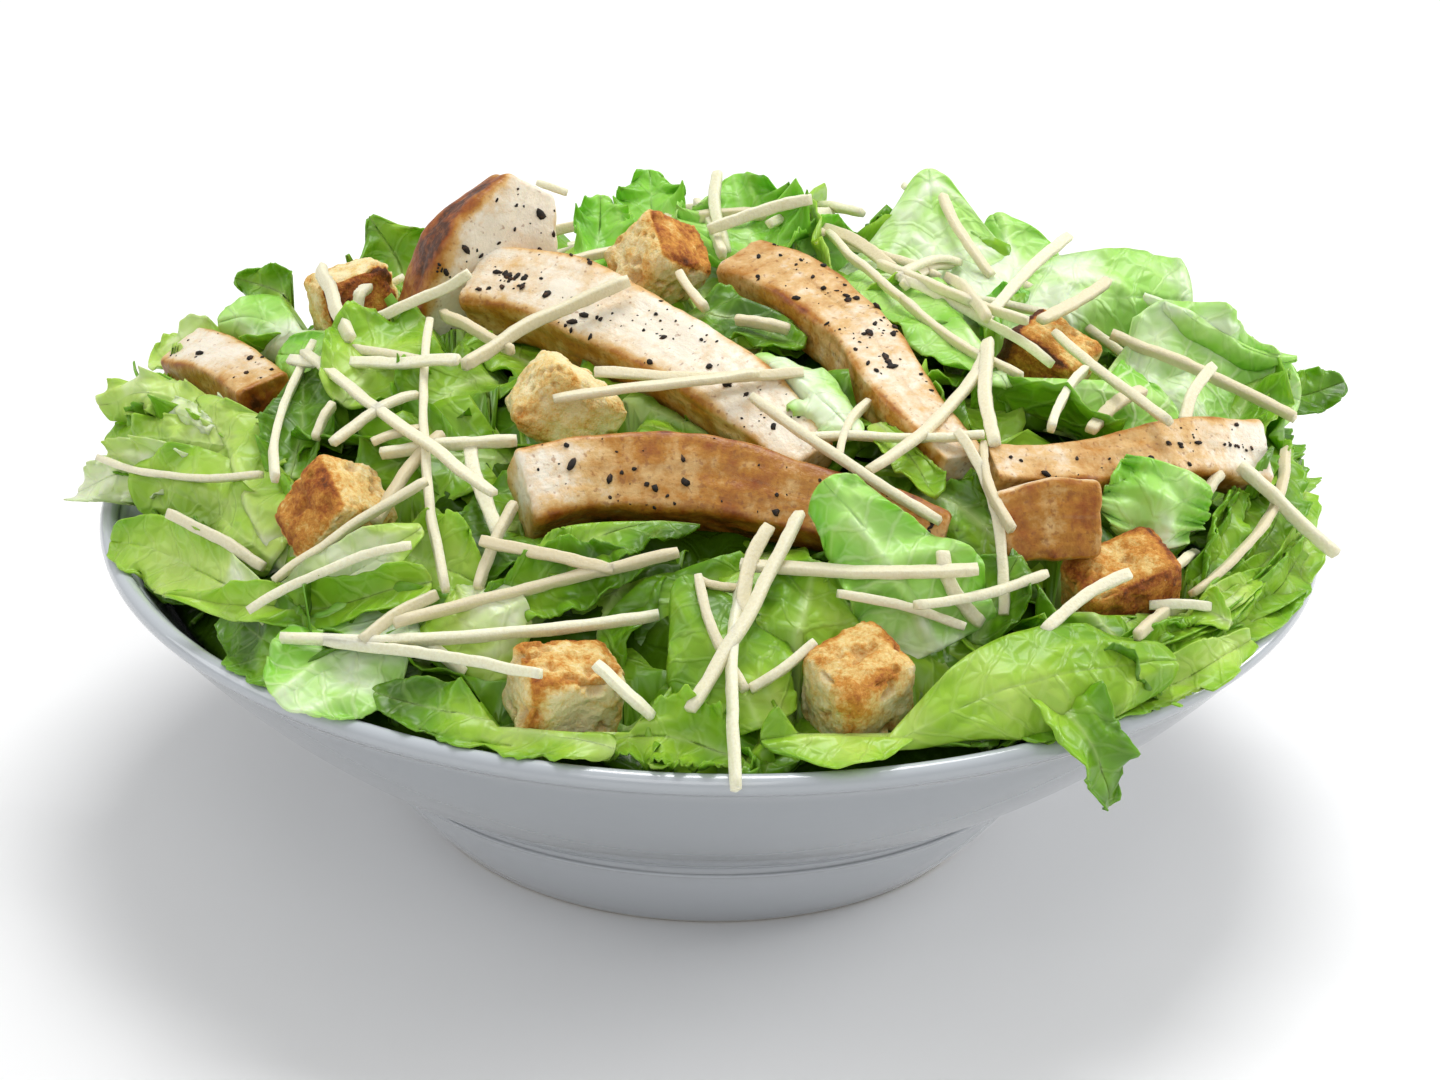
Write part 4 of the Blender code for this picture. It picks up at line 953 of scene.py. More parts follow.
                       ruffle=1.6, waves=4, rib=0.6, base=0.5, tip=0.4, tear=0.14, crumple=2.6, over=True),
    "bunch_frill_1": dict(path=[(-98, -10, 86), (-108, -4, 88), (-117, 0, 87), (-125, 3, 83)],
                          face=[(-0.2, -0.6, 0.8), (-0.6, -0.5, 0.5)], width=12, pale=0.8, fold=-16, curl=-30,
                          ruffle=2.6, waves=4, rib=0.8, base=0.6, tip=0.6, tear=0.18, crumple=3.0, over=True),
    "bunch_frill_2": dict(path=[(-94, -20, 84), (-106, -12, 82), (-116, -6, 80), (-125, -1, 77)],
                          face=[(-0.3, -0.8, 0.6), (-0.6, -0.7, 0.4)], width=13, pale=0.56, fold=-18, curl=-34,
                          ruffle=2.6, waves=4, rib=0.8, base=0.6, tip=0.6, tear=0.18, crumple=3.2, over=True),
    "bunch_frill_3": dict(path=[(-98, -26, 80), (-110, -17, 78), (-120, -11, 74), (-129, -7, 68)],
                          face=[(-0.3, -0.85, 0.5), (-0.6, -0.7, 0.4)], width=14, pale=0.84, fold=14, curl=24,
                          ruffle=2.6, waves=4, rib=0.8, base=0.5, tip=0.4, tear=0.16, crumple=3.0, over=True),
    "bunch_crown": dict(path=[(-98, 30, 82), (-110, 34, 83), (-120, 34, 80)],
                        face=[(-0.3, -0.4, 0.85), (-0.6, -0.4, 0.7)], width=14, pale=0.7, fold=12, curl=22,
                        ruffle=1.4, waves=2.5, rib=0.8, base=0.5, tip=0.5, tear=0.06),
    "bunch_tip": dict(path=[(-100, -16, 86), (-108, -8, 87), (-116, -1, 85)],
                      face=[(-0.3, -0.8, 0.5), (-0.4, -0.7, 0.6)], width=8, pale=0.86, fold=-20, curl=-30,
                      ruffle=1.8, waves=4, rib=0.8, base=0.5, tip=0.4, tear=0.16, over=True, crumple=2.6),
    "bunch_hidden": dict(path=[(-92, -20, 78), (-108, -8, 79), (-122, 0, 74)],
                         face=[(-0.5, -0.7, 0.5), (-0.7, -0.5, 0.5)], width=22, pale=0.25, fold=14, curl=34,
                         ruffle=2.6, waves=4, rib=0.8, base=0.5, tip=0.6, tear=0.12),
    "upright_dark_left": dict(path=[(-83, -34, 84), (-82, -20, 91), (-83, -6, 96)],
                              face=[(-0.2, -0.85, 0.5), (-0.2, -0.8, 0.6)], width=17, pale=0.14, fold=14, curl=20,
                              ruffle=2.0, waves=3.5, rib=1.0, base=0.6, tip=0.4),
    "far_left_1": dict(path=[(-76, 16, 91), (-88, 24, 92), (-97, 30, 93), (-105, 32, 91)],
                       face=[(-0.1, -0.8, 0.6), (-0.2, -0.8, 0.6)], width=15, pale=0.6, fold=-8, curl=-24,
                       ruffle=0.9, waves=2, rib=0.6, base=0.6, tip=0.5, tear=0.05, heart=True),
    "far_left_2": dict(path=[(-84, 34, 92), (-93, 40, 95), (-102, 42, 97)],
                       face=[(-0.2, -0.8, 0.6), (-0.3, -0.8, 0.5)], width=12, pale=0.35, fold=16, curl=24,
                       ruffle=1.4, waves=3, rib=1.2, base=0.5, tip=0.3),
    "far_left_green": dict(path=[(-64, 36, 92), (-68, 48, 99), (-74, 54, 107)],
                           face=[(0.1, -0.9, 0.4), (0.0, -0.9, 0.3)], width=22, pale=0.3, fold=14, curl=30,
                           ruffle=1.8, waves=3.5, rib=1.2, base=0.6, tip=0.12),
    "left_shelf": dict(path=[(-62, -12, 98), (-76, 0, 96), (-90, 14, 91)],
                       face=[(-0.2, -0.6, 0.8), (-0.3, -0.6, 0.75)], width=20, pale=0.55, fold=-5, curl=-16,
                       ruffle=1.2, waves=2.5, rib=0.8, base=0.5, tip=0.4, tear=0.06, heart=True),
    "left_middle": dict(path=[(-74, -22, 95), (-66, -8, 101), (-58, 4, 106)],
                        face=[(-0.1, -0.7, 0.7), (0.0, -0.6, 0.8)], width=24, pale=0.25, fold=8, curl=20,
                        ruffle=1.4, waves=3, rib=1.4, base=0.6, tip=0.4),
    "top_small_left": dict(path=[(-26, 34, 104), (-25, 46, 108), (-25, 54, 113)],
                           face=[(0.0, -0.95, 0.3), (0.1, -0.95, 0.2)], width=15, pale=0.5, fold=14, curl=26,
                           ruffle=2.2, waves=3, rib=1.0, base=0.6, tip=0.3, heart=True),
    "top_small_right": dict(path=[(-12, 44, 106), (-14, 56, 110), (-15, 62, 116)],
                            face=[(0.0, -0.95, 0.3), (0.1, -0.95, 0.2)], width=18, pale=0.5, fold=12, curl=24,
                            ruffle=2.6, waves=3, rib=1.0, base=0.6, tip=0.35, heart=True),
    "top_ruffled": dict(path=[(9, 38, 102), (6, 52, 108), (3, 62, 116)],
                        face=[(0.0, -0.9, 0.45), (-0.1, -0.95, 0.3)], width=30, pale=0.46, fold=10, curl=30,
                        ruffle=3.2, waves=4.5, rib=1.8, base=0.7, tip=0.25, crumple=2.6, heart=True, tear=0.2),
    "top_dark_right": dict(path=[(14, 46, 101), (24, 52, 102), (34, 52, 102)],
                           face=[(0.1, -0.9, 0.5), (0.2, -0.9, 0.4)], width=18, pale=0.42, fold=10, curl=20,
                           ruffle=1.6, waves=3, rib=1.2, base=0.5, tip=0.2, heart=True),
    "top_translucent": dict(path=[(46, 28, 96), (46, 46, 107), (45, 60, 119)],
                            face=[(0.1, -0.9, 0.4), (0.0, -0.95, 0.3)], width=58, pale=0.76, fold=-7, curl=-14,
                            ruffle=0.5, waves=1.2, rib=0.8, base=1.0, tip=0.16, widest=0.1, taper=1.0, tear=0.03,
                            crumple=0.9, heart=True),
    "top_translucent_flap": dict(path=[(58, 30, 98), (63, 46, 103), (59, 58, 110)],
                                 face=[(0.1, -0.9, 0.4), (0.0, -0.95, 0.3)], width=24, pale=0.86, fold=-6, curl=-16,
                                 ruffle=0.6, waves=1.5, rib=0.6, base=0.9, tip=0.3, widest=0.3, tear=0.04,
                                 crumple=1.0, heart=True),
    "right_big": dict(path=[(60, 26, 94), (74, 34, 98), (88, 40, 98), (101, 41, 97)],
                      face=[(0.0, -0.85, 0.5), (0.2, -0.85, 0.5)], width=27, pale=0.64, fold=-8, curl=-34,
                      ruffle=1.8, waves=3, rib=0.8, base=0.6, tip=0.8, tear=0.06, crumple=2.2, heart=True),
    "right_big_fold": dict(path=[(58, 20, 90), (64, 30, 95), (70, 38, 98)],
                           face=[(-0.4, -0.8, 0.4), (-0.3, -0.8, 0.5)], width=18, pale=0.24, fold=16, curl=20,
                           ruffle=0.8, waves=2, rib=1.2, base=0.5, tip=0.3, heart=True),
    "right_veined": dict(path=[(82, 8, 86), (96, 18, 89), (110, 24, 85), (123, 24, 82)],
                         face=[(0.0, -0.8, 0.6), (0.2, -0.85, 0.5)], width=30, pale=0.7, fold=8, curl=20,
                         ruffle=1.6, waves=3, rib=0.8, base=0.7, tip=0.5, widest=0.3, net=0.55, crumple=1.8, heart=True),
    "right_rolled_edge": dict(path=[(89, 22, 106), (100, 23, 100), (111, 24, 94), (122, 25, 91)],
                              face=[(0.1, -0.5, 0.85), (0.3, -0.5, 0.8)], width=10, pale=0.6, fold=-20, curl=-50,
                              ruffle=0.8, waves=2, rib=0.5, base=0.3, tip=0.3, tear=0.05, heart=True),
    "right_wall_3": dict(path=[(104, -66, 69), (88, -84, 68), (68, -101, 68)],
                         face=[(0.4, -0.6, 0.65), (0.2, -0.7, 0.65)], width=13, pale=0.35, fold=20, curl=26,
                         ruffle=1.0, waves=3, rib=0.6, base=0.4, tip=0.3, tear=0.05),
    "right_finger": dict(path=[(114, 20, 84), (124, 29, 81), (133, 34, 82)],
                         face=[(0.2, -0.8, 0.55), (0.2, -0.8, 0.5)], width=11, pale=0.16, fold=18, curl=20,
                         ruffle=1.2, waves=2.5, rib=0.8, base=0.5, tip=0.5, outside=True),
    "behind_right_strip": dict(path=[(30, 34, 105), (44, 6, 106), (58, -22, 102)],
                               face=[(0.3, -0.4, 0.87), (0.3, -0.4, 0.87)], width=22, pale=0.6, fold=8, curl=-10,
                               ruffle=1.2, waves=3, rib=1.6, base=0.5, tip=0.4, heart=True),
    "right_middle_fold": dict(path=[(60, -16, 99), (78, -10, 97), (94, -10, 90)],
                              face=[(0.1, -0.75, 0.65), (0.2, -0.75, 0.6)], width=22, pale=0.36, fold=-4, curl=-30,
                              ruffle=1.4, waves=3, rib=1.4, base=0.5, tip=0.4, net=0.7, heart=True),
    "between_strips_pale": dict(path=[(8, -22, 107), (18, -34, 106), (28, -47, 101)],
                                face=[(0.1, -0.5, 0.85), (0.2, -0.6, 0.75)], width=13, pale=0.66, fold=-6,
                                curl=-20, ruffle=0.8, waves=2, rib=0.6, base=0.4, tip=0.4, under=True, tear=0.05, heart=True),
    "between_strips_lime": dict(path=[(32, -40, 101), (38, -50, 99), (43, -60, 95)],
                                face=[(0.1, -0.6, 0.8), (0.2, -0.6, 0.75)], width=12, pale=0.4, fold=14, curl=10,
                                ruffle=0.8, waves=2, rib=1.0, base=0.5, tip=0.4),
    "under_left_strip": dict(path=[(-6, 2, 105), (6, -2, 107), (18, -10, 106)],
                             face=[(0.0, -0.4, 0.9), (0.1, -0.4, 0.9)], width=18, pale=0.1, fold=10, curl=10,
                             ruffle=1.2, waves=3, rib=1.2, base=0.5, tip=0.4),
    "ribbed_upper": dict(path=[(-32, -77, 86), (-18, -71, 91), (-2, -69, 93)],
                         face=[(0.0, -0.7, 0.7), (0.1, -0.6, 0.8)], width=17, pale=0.08, fold=16, curl=30,
                         ruffle=1.6, waves=3.5, rib=1.0, base=0.5, tip=0.3, crumple=1.2),
    "ribbed_lower": dict(path=[(-42, -83, 79), (-28, -79, 84), (-12, -77, 88)],
                         face=[(0.0, -0.7, 0.7), (0.1, -0.65, 0.75)], width=16, pale=0.14, fold=16, curl=30,
                         ruffle=1.6, waves=3.5, rib=1.0, base=0.5, tip=0.3, crumple=1.2),
    "front_left_pale": dict(path=[(-34, -84, 82), (-44, -88, 78), (-54, -88, 75)],
                            face=[(-0.1, -0.75, 0.65), (-0.2, -0.75, 0.6)], width=22, pale=0.62, fold=-6, curl=-20,
                            ruffle=1.0, waves=2, rib=1.2, base=0.6, tip=0.4),
    "front_left_back": dict(path=[(-64, -64, 84), (-52, -72, 84), (-42, -78, 82)],
                            face=[(-0.1, -0.6, 0.8), (-0.1, -0.7, 0.7)], width=20, pale=0.35, fold=8, curl=20,
                            ruffle=1.4, waves=3, rib=1.2, base=0.5, tip=0.4),
    "right_lower": dict(path=[(72, -82, 74), (82, -72, 77), (94, -56, 75)],
                        face=[(0.2, -0.75, 0.6), (0.3, -0.7, 0.6)], width=16, pale=0.25, fold=18, curl=25,
                        ruffle=1.2, waves=3, rib=1.2, base=0.4, tip=0.3),
}
leafFinish = {"outer": {"dark": "#436c05", "green": "#6a9e15", "light": "#97c231", "pale": "#bcd86a", "white": "#e2edc6",
                        "vein": "#d0e69a", "rib": "#cfe29c", "margin": "#70aa18", "shade": "#243c02"},
              "heart": {"dark": "#3c780a", "green": "#5fa81e", "light": "#8ccc42", "pale": "#b4e27c", "white": "#e0f3cc",
                        "vein": "#dcf4b8", "rib": "#d2eeae", "margin": "#6cba24", "shade": "#243c02"}}
filler = {"seed": 91, "highest": 103.0, "lowCount": 46, "rimCount": 24, "topCount": 92, "length": (32.0, 54.0), "width": (16.0, 30.0), "pale": (0.08, 0.2, 0.32, 0.45, 0.6)}


def romaineLeaf(name, kind="outer", deep=False):
    # torn romaine, washed and lightly dressed: thin waxy blade with a pale juicy rib, side veins every 7 mm
    # and a fine net of veins between them; light glows through it, and its moist skin gives soft broad shine
    colors = leafFinish[kind]
    material, tree, shader = startMaterial(name, Roughness=0.36, IOR=1.4, Subsurface_Weight=0.0 if deep else 0.3,
                                           Subsurface_Scale=0.002, Coat_Weight=0.0 if deep else 0.12,
                                           Coat_Roughness=0.22, Specular_IOR_Level=0.12 if deep else 0.5)
    shader.inputs["Subsurface Radius"].default_value = (0.7, 1.0, 0.25)
    tones = addNode(tree, "ShaderNodeAttribute", attribute_name="tones")
    part = addNode(tree, "ShaderNodeSeparateColor", {"Color": tones.outputs["Color"]})
    rib, pale, edge = part.outputs["Red"], part.outputs["Green"], part.outputs["Blue"]
    sheet = addNode(tree, "ShaderNodeTexCoord").outputs["UV"]
    # one unit of the map is 10 mm: x across from the rib, y along it
    cloud = addNode(tree, "ShaderNodeTexNoise", {"Vector": sheet, "Scale": 0.7, "Detail": 3.0, "Roughness": 0.55})
    # painted highlight and shade in patches: noise moves the paleness up and down across the blade, partly the leaf's
    # own mottling, partly standing in for broad highlights and shade
    wander = addNode(tree, "ShaderNodeMapRange", {"Value": cloud.outputs["Fac"], "From Min": 0.3, "From Max": 0.7,
                                                  "To Min": -0.18, "To Max": 0.2}, clamp=False)
    level = addNode(tree, "ShaderNodeMath", {0: pale, 1: wander.outputs["Result"]}, operation="ADD")
    blade = addNode(tree, "ShaderNodeValToRGB", {"Fac": level.outputs[0]},
                    stops=[(0.0, colors["dark"]), (0.22, colors["green"]), (0.5, colors["light"]),
                           (0.8, colors["pale"]), (1.0, colors["white"])])
    # side veins: lines of y - 0.85 |x|, 7 mm apart, bent a little by noise
    split = addNode(tree, "ShaderNodeSeparateXYZ", {"Vector": sheet})
    aside = addNode(tree, "ShaderNodeMath", {0: split.outputs["X"]}, operation="ABSOLUTE")
    slant = addNode(tree, "ShaderNodeMath", {0: aside.outputs[0], 1: -0.85, 2: split.outputs["Y"]},
                    operation="MULTIPLY_ADD")
    bent = addNode(tree, "ShaderNodeMath", {0: cloud.outputs["Fac"], 1: 0.9, 2: slant.outputs[0]},
                   operation="MULTIPLY_ADD")
    spaced = addNode(tree, "ShaderNodeMath", {0: bent.outputs[0], 1: 1.0 / 0.7}, operation="MULTIPLY")
    fold = addNode(tree, "ShaderNodeMath", {0: spaced.outputs[0], 1: 0.5}, operation="PINGPONG")
    sideVein = addNode(tree, "ShaderNodeMapRange", {"Value": fold.outputs[0], "From Min": 0.02, "From Max": 0.11,
                                                    "To Min": 1.0, "To Max": 0.0}, interpolation_type="SMOOTHSTEP")
    # net of veins, cells of about 4 mm
    net = addNode(tree, "ShaderNodeTexVoronoi", {"Vector": sheet, "Scale": 2.5}, feature="DISTANCE_TO_EDGE",
                  voronoi_dimensions="2D")
    netVein = addNode(tree, "ShaderNodeMapRange", {"Value": net.outputs["Distance"], "From Min": 0.0,
                                                   "From Max": 0.12, "To Min": 0.45, "To Max": 0.0},
                      interpolation_type="SMOOTHSTEP")
    veins = addNode(tree, "ShaderNodeMath", {0: sideVein.outputs["Result"], 1: netVein.outputs["Result"]},
                    operation="MAXIMUM")
    # how plainly the veins show is the fourth tone
    veinShare = addNode(tree, "ShaderNodeMath", {0: veins.outputs[0], 1: tones.outputs["Alpha"]},
                        operation="MULTIPLY")
    veined = mixColors(tree, veinShare.outputs[0], blade.outputs["Color"], srgb(colors["vein"]))
    # the outer margin is greener and thinner than the heart
    margin = addNode(tree, "ShaderNodeMapRange", {"Value": edge, "From Min": 0.55, "From Max": 1.0, "To Min": 0.0,
                                                  "To Max": 0.28})
    edged = mixColors(tree, margin.outputs["Result"], veined, srgb(colors["margin"]))
    ribbed = mixColors(tree, rib, edged, srgb(colors["rib"]))
    # painted shade: the core's colour is mixed three quarters of the way to near-black green, standing in for the
    # shade deep between the leaves
    if deep:
        ribbed = mixColors(tree, 0.75, ribbed, srgb(colors["shade"]))
    tree.links.new(ribbed, shader.inputs["Base Color"])
    # blisters between the veins
    puff = addNode(tree, "ShaderNodeMapRange", {"Value": net.outputs["Distance"], "From Min": 0.0, "From Max": 0.3},
                   interpolation_type="SMOOTHSTEP")
    sunk = addNode(tree, "ShaderNodeMath", {0: sideVein.outputs["Result"], 1: -1.2, 2: puff.outputs["Result"]},
                   operation="MULTIPLY_ADD")
    bump = addNode(tree, "ShaderNodeBump", {"Height": sunk.outputs[0], "Strength": 0.36, "Distance": 0.0006})
    tree.links.new(bump.outputs["Normal"], shader.inputs["Normal"])
    return material


def leafSheet(leaf, rows, columns, seed):
    # one leaf as a closed thin sheet. Across the rib the blade runs out along an arc whose slope is
    # fold + curl s (s from 0 at the rib to 1 at the edge); along it the half width follows a quarter sine up
    # to the widest place and a quarter cosine down to the tip; waves of ruffle s^2.2 lift the edge, lumps
    # of 13 mm crumple it, pleats stand where stretched noise crosses zero, and blisters stand between the veins
    rng = np.random.default_rng(seed)
    v = np.linspace(0.0, 1.0, rows)
    u = np.linspace(-1.0, 1.0, columns)
    u = np.sign(u) * np.abs(u) ** 1.2
    s = np.abs(u)[None]
    path = curveThrough(leaf["path"], rows)
    along, face, side = carriedFrame(path, leaf["face"], v[:, None])
    distance = np.r_[0.0, np.cumsum(np.linalg.norm(np.diff(path, axis=0), axis=1))]
    widest = leaf.get("widest", 0.5)
    rising = leaf["base"] + (1 - leaf["base"]) * np.sin(math.pi / 2 * np.clip(v / widest, 0, 1)) ** 0.9
    toTip = np.clip((v - widest) / (1 - widest), 0, 1)
    falling = leaf["tip"] + (1 - leaf["tip"]) * np.cos(math.pi / 2 * toTip) ** leaf.get("taper", 0.8)
    outline = np.where(v < widest, rising, falling)
    tear = leaf.get("tear", 0.12)
    offset = rng.uniform(0.0, 900.0, 3)
    rim = np.stack([distance, np.zeros(rows), np.zeros(rows)], -1)
    halves = []
    for index in range(2):
        torn = 1.0 + tear * lumps(rim + offset + 50 * index, 9.0, 2) + 0.3 * tear * lumps(rim + offset, 4.5, 6 + index)
        halves.append(leaf["width"] / 2.0 * outline * torn)
    half = np.where(u[None] < 0, halves[0][:, None], halves[1][:, None])
    fold = math.radians(leaf["fold"]) * np.where(u < 0, rng.uniform(0.6, 1.4), rng.uniform(0.6, 1.4))[None]
    curl = math.radians(leaf["curl"]) * np.where(u < 0, rng.uniform(0.6, 1.4), rng.uniform(0.6, 1.4))[None] + 1e-3
    out = half * (np.sin(fold + curl * s) - np.sin(fold)) / curl * np.sign(u)[None]
    lift = -half * (np.cos(fold + curl * s) - np.cos(fold)) / curl
    phase = rng.uniform(0.0, 2.0 * math.pi, 4)
    turns = 2.0 * math.pi * leaf["waves"] * v[:, None]
    first = np.where(u[None] < 0, phase[0], phase[1])
    second = np.where(u[None] < 0, phase[2], phase[3])
    wave = np.sin(turns + first) + 0.35 * np.sin(1.9 * turns + second)
    lift = lift + leaf["ruffle"] * (s ** 2.2 * wave + 0.3 * s ** 5 * np.sin(3.7 * turns + second - first))
    # the tip and base draw back towards the edge, so that both ends are round
    drawn = (1 - leaf["tip"]) * easeBetween(widest, 1.0, v) - (1 - leaf["base"]) * easeBetween(widest, 0.0, v)
    shift = -0.8 * half * s ** 2 * drawn[:, None]
    flat = np.stack(np.broadcast_arrays(out, distance[:, None], 0.0 * out), -1) + offset
    ribWidth = leaf["rib"] * (1.0 - 0.75 * v[:, None])
    ribShare = np.exp(-(half * s / np.maximum(ribWidth, 0.25)) ** 2)
    crumple = leaf.get("crumple", 1.4)
    pleats = 1.0 - np.minimum(np.abs(lumps(flat * (1.0, 0.5, 1.0), 7.5, 15)) * 2.8, 1.0)
    lift = lift + crumple * (lumps(flat, 13.0, 3) + 0.5 * lumps(flat, 6.5, 4) + 0.62 * pleats ** 1.4)
    lift = lift + 0.5 * lumps(flat, 3.6, 9) * (1 - ribShare)
    lift = lift - 0.35 * ribShare
    grid = path[:, None] + side[:, None] * out[..., None] + face[:, None] * lift[..., None]
    grid = grid + along[:, None] * shift[..., None]
    # press it clear of what it touches
    bare = grid.reshape(-1, 3)
    if not leaf.get("over", False):
        bare = belowToppings(bare)
    bare = clearOfToppings(bare, leaf.get("under", False))
    bare = clearOfBowl(bare, np.full(len(bare), leaf.get("outside", False)))
    grid = bare.reshape(grid.shape)
    normal = -gridNormals(grid)
    thick = 0.16 + 0.22 * (1.0 - s ** 2)
    upper = grid + normal * thick[..., None]
    lower = grid - normal * (thick + 0.9 * ribShare * ribWidth / 1.6)[..., None]
    points = np.vstack([upper.reshape(-1, 3), lower.reshape(-1, 3)])
    quads = gridFaces(rows, columns, False)
    count = rows * columns
    border = np.r_[np.arange(columns), np.arange(2, rows) * columns - 1 + 0, count - 1,
                   count - 2 - np.arange(columns - 1), np.arange(rows - 2, 0, -1) * columns]
    after = np.roll(border, -1)
    seam = np.stack([border, border + count, after + count, after], -1)
    uv = np.stack(np.broadcast_arrays(np.sign(u)[None] * s * half / 10.0, distance[:, None] / 10.0 + 13.7 * (seed % 97)),
                  -1).reshape(-1, 2)
    # paleness: paler at the base and by the rib as the leaf is; the 15 mm lumps are partly its own mottling and partly
    # painted highlight and shade, and the paler pleat crests are painted highlight
    paleWithPaintedLight = leaf["pale"] + 0.22 * (0.5 - v[:, None]) + 0.1 * (1.0 - s) + rng.uniform(-0.04, 0.04)
    paleWithPaintedLight = paleWithPaintedLight + 0.26 * lumps(flat, 15.0, 12) + 0.16 * pleats * (0.3 + leaf["pale"])
    stalk = ribShare * (0.75 - 0.5 * v[:, None]) * min(1.0, leaf["rib"] / 1.4)
    tone = np.stack(np.broadcast_arrays(stalk, np.clip(paleWithPaintedLight, 0.0, 1.0), s, leaf.get("net", 0.1)), -1)
    tone = tone.reshape(-1, 4)
    return points, [quads, quads[:, ::-1] + count, seam], np.vstack([uv, uv]), np.vstack([tone, tone])


toppingStrips = [stripShape(strip, 40) for strip in chicken.values()]
toppingBoxes = [(np.array(c["centre"], float), np.array(Euler([math.radians(a) for a in c["turn"]]).to_matrix()),
                 np.array(c["edges"], float) / 2.0) for c in croutons.values()]


# lowest front edge of each topping: middle, half width across, height of its underside
sightCroutons = [(c["centre"], 0.62 * max(c["edges"][:2]), c["centre"][2] - 0.52 * c["edges"][2])
                 for c in croutons.values()]


def belowToppings(points):
    # leaves in front of a topping are pressed down by it: they rise no more than 0.45 mm for each mm nearer
    # the front, and no more than 1.6 mm for each mm to either side
    points = points.copy()
    for centre, half, low in sightCroutons:
        ahead = centre[1] - points[:, 1]
        beside = np.maximum(np.abs(points[:, 0] - centre[0]) - half, 0.0)
        limit = low + 0.45 * ahead + 1.6 * beside
        near = (ahead > -6.0) & (ahead < 34.0)
        points[:, 2] = np.where(near, np.minimum(points[:, 2], limit), points[:, 2])
    for middle, along, face, side, halfWidth, halfThick in toppingStrips:
        order = np.argsort(middle[:, 0])
        spread = middle[order]
        fall = np.abs(face[order, 2]) * halfThick[order] + np.abs(side[order, 2]) * halfWidth[order]
        stand = np.abs(face[order, 1]) * halfThick[order] + np.abs(side[order, 1]) * halfWidth[order]
        across = points[:, 0]
        nearY = np.interp(across, spread[:, 0], spread[:, 1] - stand)
        lowZ = np.interp(across, spread[:, 0], spread[:, 2] - 0.5 * fall)
        beside = np.maximum(np.maximum(spread[0, 0] - across, across - spread[-1, 0]), 0.0)
        ahead = nearY - points[:, 1]
        limit = lowZ + 0.45 * ahead + 1.6 * beside
        near = (ahead > 0.0) & (ahead < 26.0)
        points[:, 2] = np.where(near, np.minimum(points[:, 2], limit), points[:, 2])
    return points


def clearOfToppings(points, under):
    # a point inside a strip or a crouton moves out through the nearest side, or if it is a lower leaf
    # through the underside
    margin = 0.9
    for middle, along, face, side, halfWidth, halfThick in toppingStrips:
        gap = points[:, None] - middle[None]
        near = np.argmin(np.sum(gap ** 2, axis=2), axis=1)
        offset = gap[np.arange(len(points)), near]
        spacing = np.linalg.norm(middle[1] - middle[0]) * 1.2
        beside, above = np.sum(offset * side[near], 1), np.sum(offset * face[near], 1)
        ahead = np.sum(offset * along[near], 1)
        wide, deep = halfWidth[near] + margin, halfThick[near] + margin
        inside = (np.abs(beside) < wide) & (np.abs(above) < deep) & (np.abs(ahead) < spacing)
        sideRoom, faceRoom = wide - np.abs(beside), deep - np.abs(above)
        downward = inside & (under | (faceRoom < sideRoom))
        target = np.where(under | (above < 0), -deep, deep)
        moved = np.where(downward, target - above, 0.0)[:, None] * face[near]
        aside = inside & ~downward
        moved += np.where(aside, np.sign(beside) * sideRoom, 0.0)[:, None] * side[near]
        points = points + moved
    for centre, turn, half in toppingBoxes:
        local = (points - centre) @ turn
        room = half + margin - np.abs(local)
        inside = room.min(axis=1) > 0
        axis = np.argmin(room, axis=1)
        push = np.zeros_like(local)
        rows = np.arange(len(points))
        push[rows, axis] = np.where(local[rows, axis] < 0, -1.0, 1.0) * room[rows, axis]
        push = push @ turn.T
        if under:
            push = np.zeros_like(push)
            push[:, 2] = -(points[:, 2] - centre[2]) - half.max() * 0.8
        points = points + np.where(inside[:, None], push, 0.0)
    return points


def makeCore():
    # painted shade deep in the heap: a near-black green dome standing in for the shade between leaves, of height edge
    # + rise (1 - r^p)^0.9 over the bowl's inner slope, with creases where ridged noise folds the surface
    core = {"radius": 113.0, "edge": 60.0, "crown": 92.0, "power": 3.0, "sides": 220, "rings": 84, "crease": 3.2,
            "crease_size": 15.0, "seed": 6}
    turn = np.linspace(0.0, 2.0 * math.pi, core["sides"], endpoint=False)
    share = np.linspace(1.0, 0.02, core["rings"])
    radius = core["radius"] * share
    plump = core["power"] + 0.6 * np.sin(turn) + 1.2 * np.cos(turn) ** 2
    height = core["edge"] + (core["crown"] - core["edge"]) * (1.0 - share[:, None] ** plump[None]) ** 0.9
    low = np.array([(20.0, 10.0), (50.0, 11.0), (72.0, 26.0), (100.0, 48.0), (111.0, 58.0)])
    lowRings = np.stack([low[:, :1] * np.cos(turn), low[:, :1] * np.sin(turn),
                         np.broadcast_to(low[:, 1:], (len(low), core["sides"]))], -1)
    upper = np.stack([radius[:, None] * np.cos(turn), radius[:, None] * np.sin(turn), height], -1)
    ridge = 1.0 - np.abs(lumps(upper, core["crease_size"], core["seed"])) * 2.2
    fine = 1.0 - np.abs(lumps(upper, 6.0, core["seed"] + 1)) * 2.0
    calm = easeBetween(1.0, 0.9, share)[:, None]
    upper[..., 2] += calm * (core["crease"] * ridge + 1.2 * fine)
    upper[..., 2] = np.minimum(upper[..., 2], belowToppings(upper.reshape(-1, 3))[:, 2].reshape(upper.shape[:2]) - 2.5)
    rings = np.concatenate([lowRings, upper])
    points, faces = closedTube(rings)
    tone = np.zeros((len(points), 4))
    tone[:, 1] = 0.12 + 0.12 * lumps(points, 20.0, 2)
    uv = points[:, :2] / 10.0
    makePiece("romaine_heart_of_heap", points, faces, romaineLeaf("shadedRomaine", deep=True), "romaine",
              ["lettuce_heap"], uv, tone)


